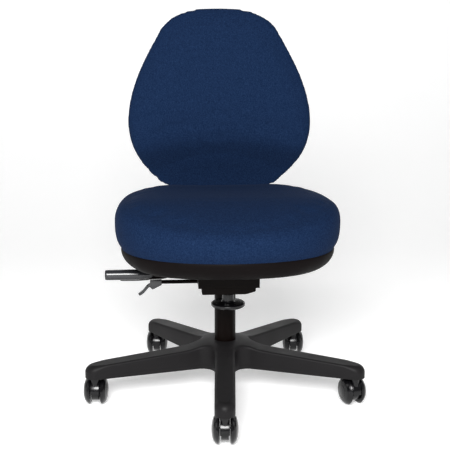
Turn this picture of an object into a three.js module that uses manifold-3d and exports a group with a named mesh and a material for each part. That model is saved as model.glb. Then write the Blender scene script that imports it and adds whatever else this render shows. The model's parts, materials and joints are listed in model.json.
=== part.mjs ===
// Swivel office chair: five-arm castor base, gas lift, tilting seat, reclining and height-adjusting back.
// Millimetres, +Z up. The sitter faces -Y and +X is the sitter's left. The finished group is shifted so
// that the origin is the middle of the chair's footprint, on the floor.
import * as THREE from 'three';
import { mergeVertices } from 'three/addons/utils/BufferGeometryUtils.js';
import Module from 'manifold-3d';

const wasm = await Module();
wasm.setup();

// ---------------------------------------------------------------- driving dimensions
const GAP = 0.3;                 // between pieces that touch
const ROUND = 20;                // facets round a shaft or a bore
const PIN_PLAY = 0.35;           // radial clearance of a pin in its hole
const SHEET = 3;                 // pressed steel thickness

// castors
const WHEEL_R = 32.5;
const WHEEL_W = 18;
const WHEEL_FACE = 4;            // thickness of the wheel outside its axle's end
const CASTOR_BODY_W = 16;
const CASTOR_BODY_INSET = 8.5;   // of the body's edge inside the tread
const WHEEL_PLAY = 3;            // between the body and each wheel
const TRAIL = 14;                // from the stem to the axle
const AXLE_R = 3;
const STEM_R = 5.5;
const STEM_RISE = 10;            // foot of the stem above the axle
const SIDE_CASTOR = 2;           // number of the castor that stands turned a little
const SIDE_CASTOR_TURN = 20;

// base
const BASE_TURN = -4;            // how far the base stands turned under the seat, degrees
const ARMS = 5;
const CASTOR_CIRCLE = 314;       // radius of the castor stems
const CASTOR_CLEAR = 3;          // between the wheels and the arms
const ARM_ROOT_W = 47;
const ARM_TIP_W = 43.5;
const ARM_TIP_H = 31;
const ARM_ROOT_H = 48;
const ARM_SHOULDER = 54;         // from the hub's rim to where the arms meet its slope
const HUB_WALL = 19;             // round the tube
const HUB_H = 62;
const ARM_FILLET = 30;           // between neighbouring arms
const RIB_WALL = 5;              // wall round the hollow under each arm
const RIB_DEPTH = 14;
const SOCKET_ROOF = 5;           // over the castor's stem

// gas lift
const TUBE_R = 25;
const TUBE_WALL = 2;
const TUBE_SINK = 2;             // foot of the tube over the arms' underside
const TUBE_LENGTH = 195;
const TUBE_PLATE = 3;            // end plate in the tube's foot
const BUSH_LENGTH = 110;
const CYLINDER_R = 14;
const CYLINDER_WALL = 2.5;
const CYLINDER_LENGTH = 191;
const CYLINDER_REACH = 21;       // above the tube, at the lowest setting
const PISTON_ROD_R = 5;
const PISTON_DEPTH = 53;         // top of the piston under the cylinder's top
const PISTON_H = 15;
const BEARING_PLAY = 8;          // between the thrust bearing and the tube
const BEARING_H = 6;
const CLIP_LIP = 4;
const CLIP_H = 3;
const VALVE_R = 3;
const VALVE_RISE = 8;            // above the cylinder
const VALVE_LENGTH = 16;

// mechanism
const HOUSING_W = 120;
const HOUSING_H = 40;
const HOUSING_FRONT = -125;
const HOUSING_REAR = 95;
const HOUSING_CLEAR = 6;         // above the tube
const HOUSING_SLOPE = 22;        // width of the housing's sloping lower corner
const HOUSING_SLOPE_H = 6;
const BOSS_WALL = 9;             // round the cylinder
const PLATE_PLAY = 5;            // between the housing and the plate's turned-down sides
const PLATE_CLEAR = 23;          // top of the plate over the housing
const PLATE_H = 47;
const NOTCH_H = 20;              // room for the levers in the plate's side
const NOTCH_FRONT = 9;           // in front of the tilt lever
const NOTCH_REAR = 20;           // behind the back lever
const TILT_Y = -60;
const TILT_DROP = 33;            // tilt pin under the plate's top
const TILT_PIN_R = 5;
const RECLINE_Y = 70;
const RECLINE_RISE = 22;         // recline pin over the housing's underside
const RECLINE_PIN_R = 6;
const KNOB_Y = -100;
const KNOB_R = 38.5;
const KNOB_RIM = 10;
const KNOB_DROP = 33;            // underside of the knob under the housing
const KNOB_CLEAR = 4;            // between the knob's neck and the housing
const KNOB_WALL = 8;             // of the neck, round the screw
const SCREW_R = 5;
const SCREW_HEAD_LIP = 4;
const SCREW_HEAD_H = 5;
const SPRING_PLAY = 4;           // between the screw and the spring
const SPRING_WIRE_R = 2;
const SPRING_TURNS = 4;
const SPRING_RISE = 20;
const SPRING_PLATE = [44, 30];

// levers
const LEVER_INSET = 14;          // lever shaft inside the housing's side
const LEVER_RISE = 11;           // lever shaft over the housing's underside
const LEVER_SHAFT_R = 2.5;
const LEVER_ROD_R = 4.5;
const LEVER_BARREL_R = 6;
const LEVER_BARREL_W = 12;
const LUG_REACH = 14;            // of the lever slot behind the tilt lever
const LUG_PLAY = 4;              // behind the back lever's barrel
const LEVER_SLOT_H = 13;         // room over the shaft in the housing's side
const HEIGHT_LEVER_Y = 0;
const BACK_LEVER_Y = 40;
const TILT_LEVER_Y = -36;
const TILT_LEVER_RISE = 9;       // over the housing's underside
const GRIP_SOCKET = 14;
const TONGUE_W = 10;
const TONGUE_T = 5;
// Each grip: its radius, its length, how far its inner end is from the lever shaft, and its place.
const HEIGHT_GRIP = { radius: 12, length: 79, reach: 151, y: -65, rise: 23.5 };
const BACK_GRIP = { radius: 9, length: 70, reach: 130, y: 6, rise: -2 };
const TILT_REACH = 103;          // from the lever shaft to the tilt lever's blade
const TILT_SOCKET = 17;
const BLADE_W = 16;

// seat
const SEAT_HALF_W = 252;
const SEAT_WIDEST_Y = -85;
const SEAT_FRONT = -296;
const SEAT_REAR = 184;
const SEAT_H = 146;              // over the plate
const CUSHION_LIP = 1;           // between the pan's rim and the cushion's swell
const CUSHION_EDGE = 34;         // rounding of the cushion's edge
const SEAT_DROP = 16;            // how much lower the front edge is
const PAN_H = 44;
const PAN_INSET = 14;            // of the pan's rim inside the cushion
const PAN_FLARE = 48;            // from the pan's rim in to its flat floor
const PAN_WALL = 4;
const PAD_SIZE = [56, 80];       // raised pads under the pan where armrests would bolt on
const PAD_H = 3;
const PAD_X = 118;
const PAD_Y = 20;
const BOARD_T = 12;
const BOARD_PLAY = 9;            // between the board's edge and the pan
const BOARD_EDGE = 1;            // chamfer round the board
const BOLT_R = 4;
const BOLT_HEAD_R = 7;
const BOLT_HEAD_H = 4;
const BOLT_SIDE = 23;            // bolts inside the plate's side
const BOLT_FRONT_Y = -95;
const BOLT_REAR_Y = 78;

// back
const BACK_H = 472;
const BACK_LIFT = 106;           // foot of the back over the seat plate
const BACK_HALF_W = 228;
const BACK_WIDEST = 192;         // over the foot
const LUMBAR_RISE = 172;         // over the foot
const LUMBAR_REACH = 34;         // foremost point of the cushion in front of the seat's rear edge
const HEAD_LEAN = 64;            // how far the top's front stands behind the lumbar
const TAIL_LEAN = 62;            // the same at the foot
const BOARD_DEPTH = 56;          // the board's front behind the lumbar
const BACK_BOARD_T = 9;
const BOARD_INSET = 4;           // of the board inside the shell
const SHELL_WALL = 3;
const SHELL_INSET = 10;
const SHELL_PLAY = 3;            // between the sleeve and the shell
const BAR_W = 60;
const BAR_T = 8;
const BAR_DEPTH = 44;            // front of the bar behind the board's front
const BAR_OVER = 60;             // end of the bar over the sleeve
const BAR_BEND_R = 45;
const BAR_BOSS_WALL = 7;
const SLEEVE_FLANGE_W = 18;
const SLEEVE_FLANGE_T = 4;
const SLEEVE_WALL = 4;
const SLEEVE_RISE = 120;         // over the foot
const SLEEVE_H = 80;
const SLOT_PLAY = 0.6;

// ---------------------------------------------------------------- sizes that follow from those above
const CASTOR_BODY_R = WHEEL_R - CASTOR_BODY_INSET;
const WHEEL_INNER = CASTOR_BODY_W / 2 + WHEEL_PLAY;
const WHEEL_OUTER = WHEEL_INNER + WHEEL_W;
const STEM_FOOT = WHEEL_R + STEM_RISE;
const ARM_UNDER = 2 * WHEEL_R + CASTOR_CLEAR;
const ARM_TIP_TOP = ARM_UNDER + ARM_TIP_H;
const ARM_ROOT_TOP = ARM_UNDER + ARM_ROOT_H;
const HUB_R = TUBE_R + HUB_WALL;
const HUB_TOP = ARM_UNDER + HUB_H;
const STEM_TOP = ARM_TIP_TOP - SOCKET_ROOF;

const TUBE_FOOT = ARM_UNDER + TUBE_SINK;
const TUBE_TOP = TUBE_FOOT + TUBE_LENGTH;
const CYLINDER_TOP = TUBE_TOP + CYLINDER_REACH;
const CYLINDER_FOOT = CYLINDER_TOP - CYLINDER_LENGTH;
const PISTON_TOP = CYLINDER_TOP - PISTON_DEPTH;
const BEARING_R = TUBE_R - TUBE_WALL - BEARING_PLAY;
const CLIP_R = PISTON_ROD_R + CLIP_LIP;
const VALVE_TOP = CYLINDER_TOP + VALVE_RISE;

const HOUSING_UNDER = TUBE_TOP + HOUSING_CLEAR;
const HOUSING_FLOOR = HOUSING_UNDER + SHEET;
const HOUSING_TOP = HOUSING_UNDER + HOUSING_H;
const HOUSING_HALF = HOUSING_W / 2;
const PLATE_HALF = HOUSING_HALF + PLATE_PLAY + SHEET;
const PLATE_TOP = HOUSING_TOP + PLATE_CLEAR;
const PLATE_UNDER = PLATE_TOP - PLATE_H;
const TILT_Z = PLATE_TOP - TILT_DROP;
const RECLINE_Z = HOUSING_UNDER + RECLINE_RISE;
const KNOB_UNDER = HOUSING_UNDER - KNOB_DROP;
const KNOB_NECK_R = SCREW_R + KNOB_WALL;
const SPRING_R = SCREW_R + SPRING_WIRE_R + SPRING_PLAY;
const SPRING_FOOT = HOUSING_FLOOR + GAP + SPRING_WIRE_R;
const SPRING_PLATE_FOOT = SPRING_FOOT + SPRING_RISE + SPRING_WIRE_R + GAP;
const SCREW_HEAD = SPRING_PLATE_FOOT + SHEET + GAP;

const LEVER_X = LEVER_INSET - HOUSING_HALF;
const LEVER_Z = HOUSING_UNDER + LEVER_RISE;
const TILT_LEVER_Z = HOUSING_UNDER + TILT_LEVER_RISE;
const LUG_FRONT = TILT_LEVER_Y + LUG_REACH;
const LUG_REAR = BACK_LEVER_Y + LEVER_BARREL_W / 2 + LUG_PLAY;

const SEAT_TOP = PLATE_TOP + SEAT_H;
const PAN_RIM = PLATE_TOP + PAN_H;
const CUSHION_UNDER = PAN_RIM + CUSHION_LIP;
const BOLT_X = PLATE_HALF - BOLT_SIDE;

const BACK_FOOT = PLATE_TOP + BACK_LIFT;
const BACK_TOP = BACK_FOOT + BACK_H;
const BACK_WIDEST_Z = BACK_FOOT + BACK_WIDEST;
const LUMBAR_Z = BACK_FOOT + LUMBAR_RISE;
const LUMBAR_Y = SEAT_REAR - LUMBAR_REACH;
const HEAD_Y = LUMBAR_Y + HEAD_LEAN;
const TAIL_Y = LUMBAR_Y + TAIL_LEAN;
const BACK_BOARD_Y = LUMBAR_Y + BOARD_DEPTH;
const BAR_Y = BACK_BOARD_Y + BAR_DEPTH;
const BAR_BOSS_R = RECLINE_PIN_R + BAR_BOSS_WALL;
const SHELL_REAR = BAR_Y + BAR_T + SLEEVE_WALL + SHELL_WALL + SHELL_PLAY;
const SLEEVE_Z = BACK_FOOT + SLEEVE_RISE;
const SLEEVE_TOP = SLEEVE_Z + SLEEVE_H;
const BAR_TOP = SLEEVE_TOP + BAR_OVER;

// ---------------------------------------------------------------- finishes
const finish = (color, roughness, metalness = 0) => ({ color, roughness, metalness });
const NYLON = finish(0x2e2c2c, 0.55);
const GLOSS = finish(0x0d0d10, 0.2);
const BLACK_PAINT = finish(0x17120f, 0.4, 0.2);
const STEEL = finish(0x8c8c8e, 0.35, 1);
const BRIGHT = finish(0xc4c6c8, 0.2, 1);
const ACETAL = finish(0xd9d6cc, 0.5);
const PLYWOOD = finish(0xb08d5b, 0.7);
const FABRIC = finish(0x24385c, 0.95);
const SHELL_PLASTIC = finish(0x201c1e, 0.6);

// ---------------------------------------------------------------- shape helpers
const radians = (degrees) => degrees * Math.PI / 180;

// A geometry with its shared corners merged, no collapsed triangles and its faces pointing out.
function closed(geometry) {
  const bare = geometry.clone();
  bare.deleteAttribute('normal');
  bare.deleteAttribute('uv');
  const merged = mergeVertices(bare, 1e-3);
  const spots = merged.attributes.position;
  const kept = [];
  let volume = 0;
  const corner = [new THREE.Vector3(), new THREE.Vector3(), new THREE.Vector3()];
  for (let i = 0; i < merged.index.count; i += 3) {
    const ids = [0, 1, 2].map((k) => merged.index.getX(i + k));
    if (ids[0] === ids[1] || ids[1] === ids[2] || ids[2] === ids[0]) continue;
    ids.forEach((id, k) => corner[k].fromBufferAttribute(spots, id));
    volume += corner[0].dot(corner[1].clone().cross(corner[2]));
    kept.push(ids);
  }
  if (volume < 0) kept.forEach((ids) => ids.reverse());
  const result = new THREE.BufferGeometry();
  result.setAttribute('position', spots);
  result.setIndex(kept.flat());
  return result;
}

function solid(geometry) {
  const whole = closed(geometry);
  return new wasm.Manifold(new wasm.Mesh({
    numProp: 3,
    vertProperties: new Float32Array(whole.attributes.position.array),
    triVerts: new Uint32Array(whole.index.array),
  }));
}

const join = (first, ...more) => more.reduce((sum, one) => sum.add(one), first);
const cut = (first, ...more) => more.reduce((rest, one) => rest.subtract(one), first);

function geometryOf(shape) {
  if (shape.isBufferGeometry) return closed(shape);
  const mesh = shape.getMesh();
  const geometry = new THREE.BufferGeometry();
  geometry.setAttribute('position', new THREE.BufferAttribute(mesh.vertProperties, 3));
  geometry.setIndex(new THREE.BufferAttribute(mesh.triVerts, 1));
  return geometry;
}

function piece(name, shape, look) {
  const mesh = new THREE.Mesh(geometryOf(shape), new THREE.MeshStandardMaterial(look));
  mesh.name = name;
  return mesh;
}

function group(...members) {
  const result = new THREE.Group();
  result.add(...members);
  return result;
}

// A block between two corners.
function block(low, high) {
  const size = high.map((value, k) => value - low[k]);
  const middle = high.map((value, k) => (value + low[k]) / 2);
  return new THREE.BoxGeometry(...size).translate(...middle);
}

// An upright cylinder from z0 to z1.
function upright(radius, z0, z1, x = 0, y = 0, facets = ROUND) {
  const bar = new THREE.CylinderGeometry(radius, radius, z1 - z0, facets).rotateX(Math.PI / 2);
  return bar.translate(x, y, (z0 + z1) / 2);
}

// A cylinder along X from x0 to x1, or along Y from y0 to y1.
function alongX(radius, x0, x1, y, z, facets = ROUND) {
  const bar = new THREE.CylinderGeometry(radius, radius, x1 - x0, facets).rotateZ(Math.PI / 2);
  return bar.translate((x0 + x1) / 2, y, z);
}

function alongY(radius, y0, y1, x, z, facets = ROUND) {
  return new THREE.CylinderGeometry(radius, radius, y1 - y0, facets).translate(x, (y0 + y1) / 2, z);
}

// A turned piece about the upright axis, from a profile of [radius, height] points.
function turned(profile, facets = ROUND) {
  const points = profile.map(([radius, height]) => new THREE.Vector2(radius, height));
  const first = points[0];
  const last = points[points.length - 1];
  if (first.x > 0 || last.x > 0) points.push(first.clone());
  return new THREE.LatheGeometry(points, facets).rotateX(Math.PI / 2);
}

const outline = (points) => new THREE.Shape(points.map(([u, v]) => new THREE.Vector2(u, v)));

// Extrusions of an outline drawn on the floor plan, on the side view (y, z) and on the front view (x, z).
function fromPlan(shape, z0, z1, options = {}) {
  const settings = { depth: z1 - z0, bevelEnabled: false, curveSegments: 8, ...options };
  return new THREE.ExtrudeGeometry(shape, settings).translate(0, 0, z0);
}

function fromSide(shape, x0, x1, curveSegments = 8) {
  const geometry = new THREE.ExtrudeGeometry(shape, { depth: x1 - x0, bevelEnabled: false, curveSegments });
  const turn = new THREE.Matrix4().makeBasis(
    new THREE.Vector3(0, 1, 0), new THREE.Vector3(0, 0, 1), new THREE.Vector3(1, 0, 0));
  return geometry.applyMatrix4(turn).translate(x0, 0, 0);
}

function fromFront(shape, y0, y1, curveSegments = 8) {
  const geometry = new THREE.ExtrudeGeometry(shape, { depth: y1 - y0, bevelEnabled: false, curveSegments });
  return geometry.rotateX(Math.PI / 2).translate(0, y1, 0);
}

// A round bar along a smooth path.
function bentRod(radius, points, steps) {
  const section = new THREE.Shape();
  section.absarc(0, 0, radius, 0, 2 * Math.PI);
  const path = new THREE.CatmullRomCurve3(points.map((p) => new THREE.Vector3(...p)), false, 'centripetal');
  return new THREE.ExtrudeGeometry(section, { steps, extrudePath: path, curveSegments: 5, bevelEnabled: false });
}

// ---------------------------------------------------------------- base
function starPlan(inset = 0) {
  const shape = new THREE.Shape();
  const half = ARM_TIP_W / 2 - inset;
  const rootHalf = ARM_ROOT_W / 2 - inset;
  const step = 2 * Math.PI / ARMS;
  const valley = (ARM_FILLET + rootHalf) / Math.sin(step / 2);
  const touch = valley * Math.cos(step / 2);
  for (let i = 0; i < ARMS; i += 1) {
    const angle = -Math.PI / 2 + i * step;
    const point = (along, across) => [
      along * Math.cos(angle) - across * Math.sin(angle),
      along * Math.sin(angle) + across * Math.cos(angle),
    ];
    if (i === 0) shape.moveTo(...point(touch, -rootHalf));
    shape.lineTo(...point(CASTOR_CIRCLE, -half));
    shape.absarc(...point(CASTOR_CIRCLE, 0), half, angle - Math.PI / 2, angle + Math.PI / 2);
    shape.lineTo(...point(touch, rootHalf));
    const middle = angle + step / 2;
    const centre = [valley * Math.cos(middle), valley * Math.sin(middle)];
    shape.absarc(...centre, ARM_FILLET, angle - Math.PI / 2, angle + step + Math.PI / 2, true);
  }
  return shape;
}

function armTops() {
  const tip = CASTOR_CIRCLE + ARM_TIP_W / 2 + 1;
  return turned([
    [0, 0], [tip, 0], [tip, ARM_TIP_TOP - 14], [tip - 6, ARM_TIP_TOP - 4], [tip - 18, ARM_TIP_TOP],
    [HUB_R + ARM_SHOULDER, ARM_ROOT_TOP], [HUB_R + 10, HUB_TOP - 4], [HUB_R, HUB_TOP], [0, HUB_TOP],
  ], 40);
}

function baseStar() {
  const arms = solid(fromPlan(starPlan(), ARM_UNDER, HUB_TOP + 1, { curveSegments: 5 })).intersect(solid(armTops()));
  const bore = solid(upright(TUBE_R + GAP, 0, HUB_TOP + 5, 0, 0, 32));
  const cuts = [bore];
  for (let i = 0; i < ARMS; i += 1) {
    const angle = radians(-90 + i * 360 / ARMS);
    const socket = upright(STEM_R + PIN_PLAY + 0.1, 0, STEM_TOP + 1, CASTOR_CIRCLE);
    const half = ARM_TIP_W / 2 - RIB_WALL;
    const rib = block([HUB_R + 12, -half, 0], [CASTOR_CIRCLE - 20, half, ARM_UNDER + RIB_DEPTH]);
    cuts.push(solid(socket.rotateZ(angle)), solid(rib.rotateZ(angle)));
  }
  return piece('base_star', cut(arms, ...cuts), NYLON);
}

function columnTube() {
  return piece('column_tube', turned([
    [PISTON_ROD_R + PIN_PLAY, TUBE_FOOT], [TUBE_R - 2, TUBE_FOOT], [TUBE_R, TUBE_FOOT + 2],
    [TUBE_R, TUBE_TOP - 1.5], [TUBE_R - 1, TUBE_TOP], [TUBE_R - TUBE_WALL, TUBE_TOP],
    [TUBE_R - TUBE_WALL, TUBE_FOOT + TUBE_PLATE], [PISTON_ROD_R + PIN_PLAY, TUBE_FOOT + TUBE_PLATE],
  ], 32), BLACK_PAINT);
}

function columnBush() {
  const outer = TUBE_R - TUBE_WALL - GAP;
  const inner = CYLINDER_R + PIN_PLAY;
  const foot = TUBE_TOP - BUSH_LENGTH;
  return piece('column_bush', turned([
    [inner, foot], [outer, foot], [outer, TUBE_TOP - 1], [inner, TUBE_TOP - 1],
  ]), ACETAL);
}

function thrustBearing() {
  const foot = TUBE_FOOT + TUBE_PLATE + GAP;
  const bore = PISTON_ROD_R + PIN_PLAY;
  return piece('thrust_bearing', turned([
    [bore, foot], [BEARING_R, foot], [BEARING_R, foot + BEARING_H], [bore, foot + BEARING_H],
  ]), BRIGHT);
}

// ---------------------------------------------------------------- castors
// Each castor is drawn with its stem on the axis, its axle along X and its wheels behind, at +Y.
function castorBody() {
  const half = CASTOR_BODY_W / 2;
  const disc = solid(alongX(CASTOR_BODY_R, -half, half, TRAIL, WHEEL_R, 16));
  const neck = solid(upright(half, WHEEL_R, ARM_UNDER - GAP, 0, 0, 12));
  const socket = solid(upright(STEM_R + GAP, STEM_FOOT - GAP, ARM_UNDER, 0, 0, 12));
  const axleHole = solid(alongX(AXLE_R + GAP, -CASTOR_BODY_W, CASTOR_BODY_W, TRAIL, WHEEL_R, 12));
  return cut(join(disc, neck), socket, axleHole);
}

// The right-hand wheel, turned about its axle; the left-hand one is its mirror image.
function castorWheel(side) {
  const bore = AXLE_R + PIN_PLAY;
  const inner = WHEEL_INNER;
  const outer = WHEEL_OUTER;
  const profile = [
    [0, outer], [WHEEL_R * 0.5, outer - 1], [WHEEL_R * 0.84, outer - 5], [WHEEL_R * 0.97, outer - 9],
    [WHEEL_R, outer - 13], [WHEEL_R, inner + 2], [WHEEL_R - 2, inner],
    [bore, inner], [bore, outer - WHEEL_FACE], [0, outer - WHEEL_FACE],
  ];
  const wheel = turned(profile, 16).rotateY(Math.PI / 2);
  if (side < 0) wheel.scale(-1, 1, 1);
  return wheel.translate(0, TRAIL, WHEEL_R);
}

function castor(number) {
  const reach = WHEEL_OUTER - WHEEL_FACE - GAP;
  const whole = group(
    piece(`castor_body_${number}`, castorBody(), GLOSS),
    piece(`castor_stem_${number}`, upright(STEM_R, STEM_FOOT, STEM_TOP, 0, 0, 12), STEEL),
    piece(`castor_axle_${number}`, alongX(AXLE_R, -reach, reach, TRAIL, WHEEL_R, 12), BRIGHT),
    piece(`castor_wheel_left_${number}`, castorWheel(1), GLOSS),
    piece(`castor_wheel_right_${number}`, castorWheel(-1), GLOSS),
  );
  const angle = radians(-90 + (number - 1) * 360 / ARMS);
  whole.position.set(CASTOR_CIRCLE * Math.cos(angle), CASTOR_CIRCLE * Math.sin(angle), 0);
  if (number === SIDE_CASTOR) whole.rotation.z = radians(SIDE_CASTOR_TURN);
  return whole;
}

// ---------------------------------------------------------------- gas lift
function pistonRod() {
  const foot = TUBE_FOOT - CLIP_H - 2 * GAP;
  const piston = CYLINDER_R - CYLINDER_WALL - GAP;
  return piece('piston_rod', turned([
    [0, foot], [PISTON_ROD_R, foot], [PISTON_ROD_R, PISTON_TOP - PISTON_H], [piston, PISTON_TOP - PISTON_H],
    [piston, PISTON_TOP], [0, PISTON_TOP],
  ]), BRIGHT);
}

function rodClip() {
  const top = TUBE_FOOT - GAP;
  const bore = PISTON_ROD_R + GAP;
  return piece('rod_clip', turned([
    [bore, top - CLIP_H], [CLIP_R, top - CLIP_H], [CLIP_R, top], [bore, top],
  ]), STEEL);
}

function gasCylinder() {
  const inner = CYLINDER_R - CYLINDER_WALL;
  const valve = VALVE_R + PIN_PLAY;
  return piece('gas_cylinder', turned([
    [inner, CYLINDER_FOOT], [CYLINDER_R, CYLINDER_FOOT], [CYLINDER_R, CYLINDER_TOP - 1],
    [CYLINDER_R - 1, CYLINDER_TOP], [valve, CYLINDER_TOP], [valve, CYLINDER_TOP - 12],
    [inner, CYLINDER_TOP - 16],
  ]), BRIGHT);
}

function valvePin() {
  return piece('valve_pin', turned([
    [0, VALVE_TOP - VALVE_LENGTH], [VALVE_R, VALVE_TOP - VALVE_LENGTH], [VALVE_R, VALVE_TOP - 0.5],
    [VALVE_R - 0.8, VALVE_TOP], [0, VALVE_TOP],
  ], 16), STEEL);
}

// ---------------------------------------------------------------- mechanism
function housing() {
  const half = HOUSING_HALF;
  const slope = half - HOUSING_SLOPE;
  const corner = HOUSING_UNDER + HOUSING_SLOPE_H;
  const outside = [
    [-half, HOUSING_TOP], [-half, HOUSING_UNDER], [slope, HOUSING_UNDER], [half, corner], [half, HOUSING_TOP],
  ];
  const inside = [
    [half - SHEET, HOUSING_TOP], [half - SHEET, corner + SHEET / 2], [slope - SHEET / 2, HOUSING_FLOOR],
    [SHEET - half, HOUSING_FLOOR], [SHEET - half, HOUSING_TOP],
  ];
  const lugs = [LUG_FRONT, LUG_REAR].map((y) => solid(block(
    [SHEET / 2 - half, y - 2, HOUSING_FLOOR - 1], [LEVER_X + LEVER_BARREL_R, y + 2, LEVER_Z + LEVER_BARREL_R])));
  const slots = [HEIGHT_LEVER_Y, BACK_LEVER_Y].map((y) => solid(block(
    [-half - 1, y - LEVER_BARREL_W / 2 - 1, HOUSING_FLOOR + 0.5],
    [SHEET - half + 0.5, y + LEVER_BARREL_W / 2 + 1, LEVER_Z + LEVER_SLOT_H])));
  const whole = join(
    solid(fromFront(outline([...outside, ...inside]), HOUSING_FRONT, HOUSING_REAR)),
    solid(fromFront(outline(outside), HOUSING_FRONT, HOUSING_FRONT + SHEET)),
    solid(upright(CYLINDER_R + BOSS_WALL, HOUSING_FLOOR - 1, CYLINDER_TOP - 2)),
    ...lugs,
  );
  return piece('mechanism_housing', cut(
    whole,
    solid(upright(CYLINDER_R + GAP, HOUSING_UNDER - 1, CYLINDER_TOP)),
    solid(upright(SCREW_R + PIN_PLAY, HOUSING_UNDER - 1, HOUSING_FLOOR + 1, 0, KNOB_Y)),
    solid(alongX(TILT_PIN_R + GAP, -half - 1, half + 1, TILT_Y, TILT_Z)),
    solid(alongX(RECLINE_PIN_R + GAP, -half - 1, half + 1, RECLINE_Y, RECLINE_Z)),
    solid(alongY(LEVER_SHAFT_R + GAP, LUG_FRONT - 5, LUG_REAR + 5, LEVER_X, LEVER_Z, 16)),
    solid(alongX(LEVER_ROD_R + PIN_PLAY, -half - 1, SHEET - half + 1, TILT_LEVER_Y, TILT_LEVER_Z)),
    ...slots,
  ), BLACK_PAINT);
}

function mechanismPins() {
  const tilt = PLATE_HALF + 3;
  const recline = HOUSING_HALF + 2;
  return [
    piece('tilt_pin', alongX(TILT_PIN_R, -tilt, tilt, TILT_Y, TILT_Z), STEEL),
    piece('recline_pin', alongX(RECLINE_PIN_R, -recline, recline, RECLINE_Y, RECLINE_Z), STEEL),
    piece('lever_shaft', alongY(LEVER_SHAFT_R, LUG_FRONT - 3, LUG_REAR + 3, LEVER_X, LEVER_Z, 12), STEEL),
  ];
}

function tensionSpring() {
  class Helix extends THREE.Curve {
    getPoint(t, target = new THREE.Vector3()) {
      const angle = t * SPRING_TURNS * 2 * Math.PI;
      const y = KNOB_Y + SPRING_R * Math.sin(angle);
      return target.set(SPRING_R * Math.cos(angle), y, SPRING_FOOT + t * SPRING_RISE);
    }
  }
  const section = new THREE.Shape();
  section.absarc(0, 0, SPRING_WIRE_R, 0, 2 * Math.PI);
  return piece('tension_spring', new THREE.ExtrudeGeometry(section, {
    steps: SPRING_TURNS * 10, extrudePath: new Helix(), curveSegments: 3, bevelEnabled: false,
  }), STEEL);
}

function springPlate() {
  const [width, depth] = SPRING_PLATE;
  const foot = SPRING_PLATE_FOOT;
  const plate = solid(block([-width / 2, KNOB_Y - depth / 2, foot], [width / 2, KNOB_Y + depth / 2, foot + SHEET]));
  const hole = solid(upright(SCREW_R + PIN_PLAY, foot - 1, foot + SHEET + 1, 0, KNOB_Y));
  return piece('spring_plate', cut(plate, hole), STEEL);
}

function tensionScrew() {
  const foot = KNOB_UNDER + KNOB_RIM;
  const headR = SCREW_R + SCREW_HEAD_LIP;
  const top = SCREW_HEAD + SCREW_HEAD_H;
  return piece('tension_screw', turned([
    [0, foot], [SCREW_R, foot], [SCREW_R, SCREW_HEAD], [headR, SCREW_HEAD], [headR, top], [0, top],
  ]).translate(0, KNOB_Y, 0), STEEL);
}

function tensionKnob() {
  const rim = KNOB_UNDER + KNOB_RIM;
  const neckTop = HOUSING_UNDER - KNOB_CLEAR;
  return piece('tension_knob', turned([
    [0, KNOB_UNDER], [KNOB_R - 2.5, KNOB_UNDER], [KNOB_R, KNOB_UNDER + 2], [KNOB_R, rim - 1.5],
    [KNOB_R - 2, rim], [KNOB_NECK_R + 2, rim + 1], [KNOB_NECK_R, neckTop], [SCREW_R + GAP, neckTop],
    [SCREW_R + GAP, rim - GAP], [0, rim - GAP],
  ], 32).translate(0, KNOB_Y, 0), GLOSS);
}

// ---------------------------------------------------------------- levers
function leverBarrel(y) {
  return solid(alongY(LEVER_BARREL_R, y - LEVER_BARREL_W / 2, y + LEVER_BARREL_W / 2, LEVER_X, LEVER_Z, 16));
}

function leverBore(y) {
  return solid(alongY(LEVER_SHAFT_R + PIN_PLAY, y - 20, y + 20, LEVER_X, LEVER_Z, 16));
}

// Where a lever's grip begins and ends, and its axis.
function gripPlace(size) {
  const inner = LEVER_X - size.reach;
  return { inner, outer: inner - size.length, y: size.y, z: LEVER_Z + size.rise };
}

// A plain round grip along -X with a socket for its rod.
function grip(name, size) {
  const { outer, y, z } = gripPlace(size);
  const { radius, length } = size;
  const socket = LEVER_ROD_R + GAP;
  const body = turned([
    [0, 0], [radius - 3, 0], [radius, 4], [radius, length - 5], [radius - 2, length - 1], [socket + 2, length],
    [socket, length], [socket, length - GRIP_SOCKET], [0, length - GRIP_SOCKET],
  ]).rotateY(Math.PI / 2);
  return piece(name, body.translate(outer, y, z), GLOSS);
}

// A rod from its barrel out of the housing and round to its grip.
function leverRod(y, size, bends) {
  const place = gripPlace(size);
  const end = place.inner - GRIP_SOCKET + 2 * GAP;
  return solid(bentRod(LEVER_ROD_R, [
    [LEVER_X, y, LEVER_Z], ...bends, [place.inner + 18, place.y, place.z], [place.inner, place.y, place.z],
    [end, place.y, place.z],
  ], 20));
}

function heightLever() {
  const y = HEIGHT_LEVER_Y;
  const { z } = gripPlace(HEIGHT_GRIP);
  const rod = leverRod(y, HEIGHT_GRIP, [
    [LEVER_X - 49, y, LEVER_Z + 1], [LEVER_X - 79, y - 14, LEVER_Z + 5], [LEVER_X - 114, y - 52, z - 4],
  ]);
  const press = VALVE_TOP + 0.4;
  const tongue = solid(fromFront(outline([
    [LEVER_X - 2, LEVER_Z - 3], [LEVER_X + 5, LEVER_Z - 3], [LEVER_X + 16, press - TONGUE_T], [-2 * VALVE_R, press],
    [VALVE_R + 5, press], [VALVE_R + 5, press + TONGUE_T], [LEVER_X + 12, press + TONGUE_T],
    [LEVER_X - 2, LEVER_Z + TONGUE_T],
  ]), y - TONGUE_W / 2, y + TONGUE_W / 2));
  const whole = cut(join(rod, leverBarrel(y), tongue), leverBore(y));
  return group(piece('height_lever', whole, STEEL), grip('height_lever_grip', HEIGHT_GRIP));
}

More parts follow.
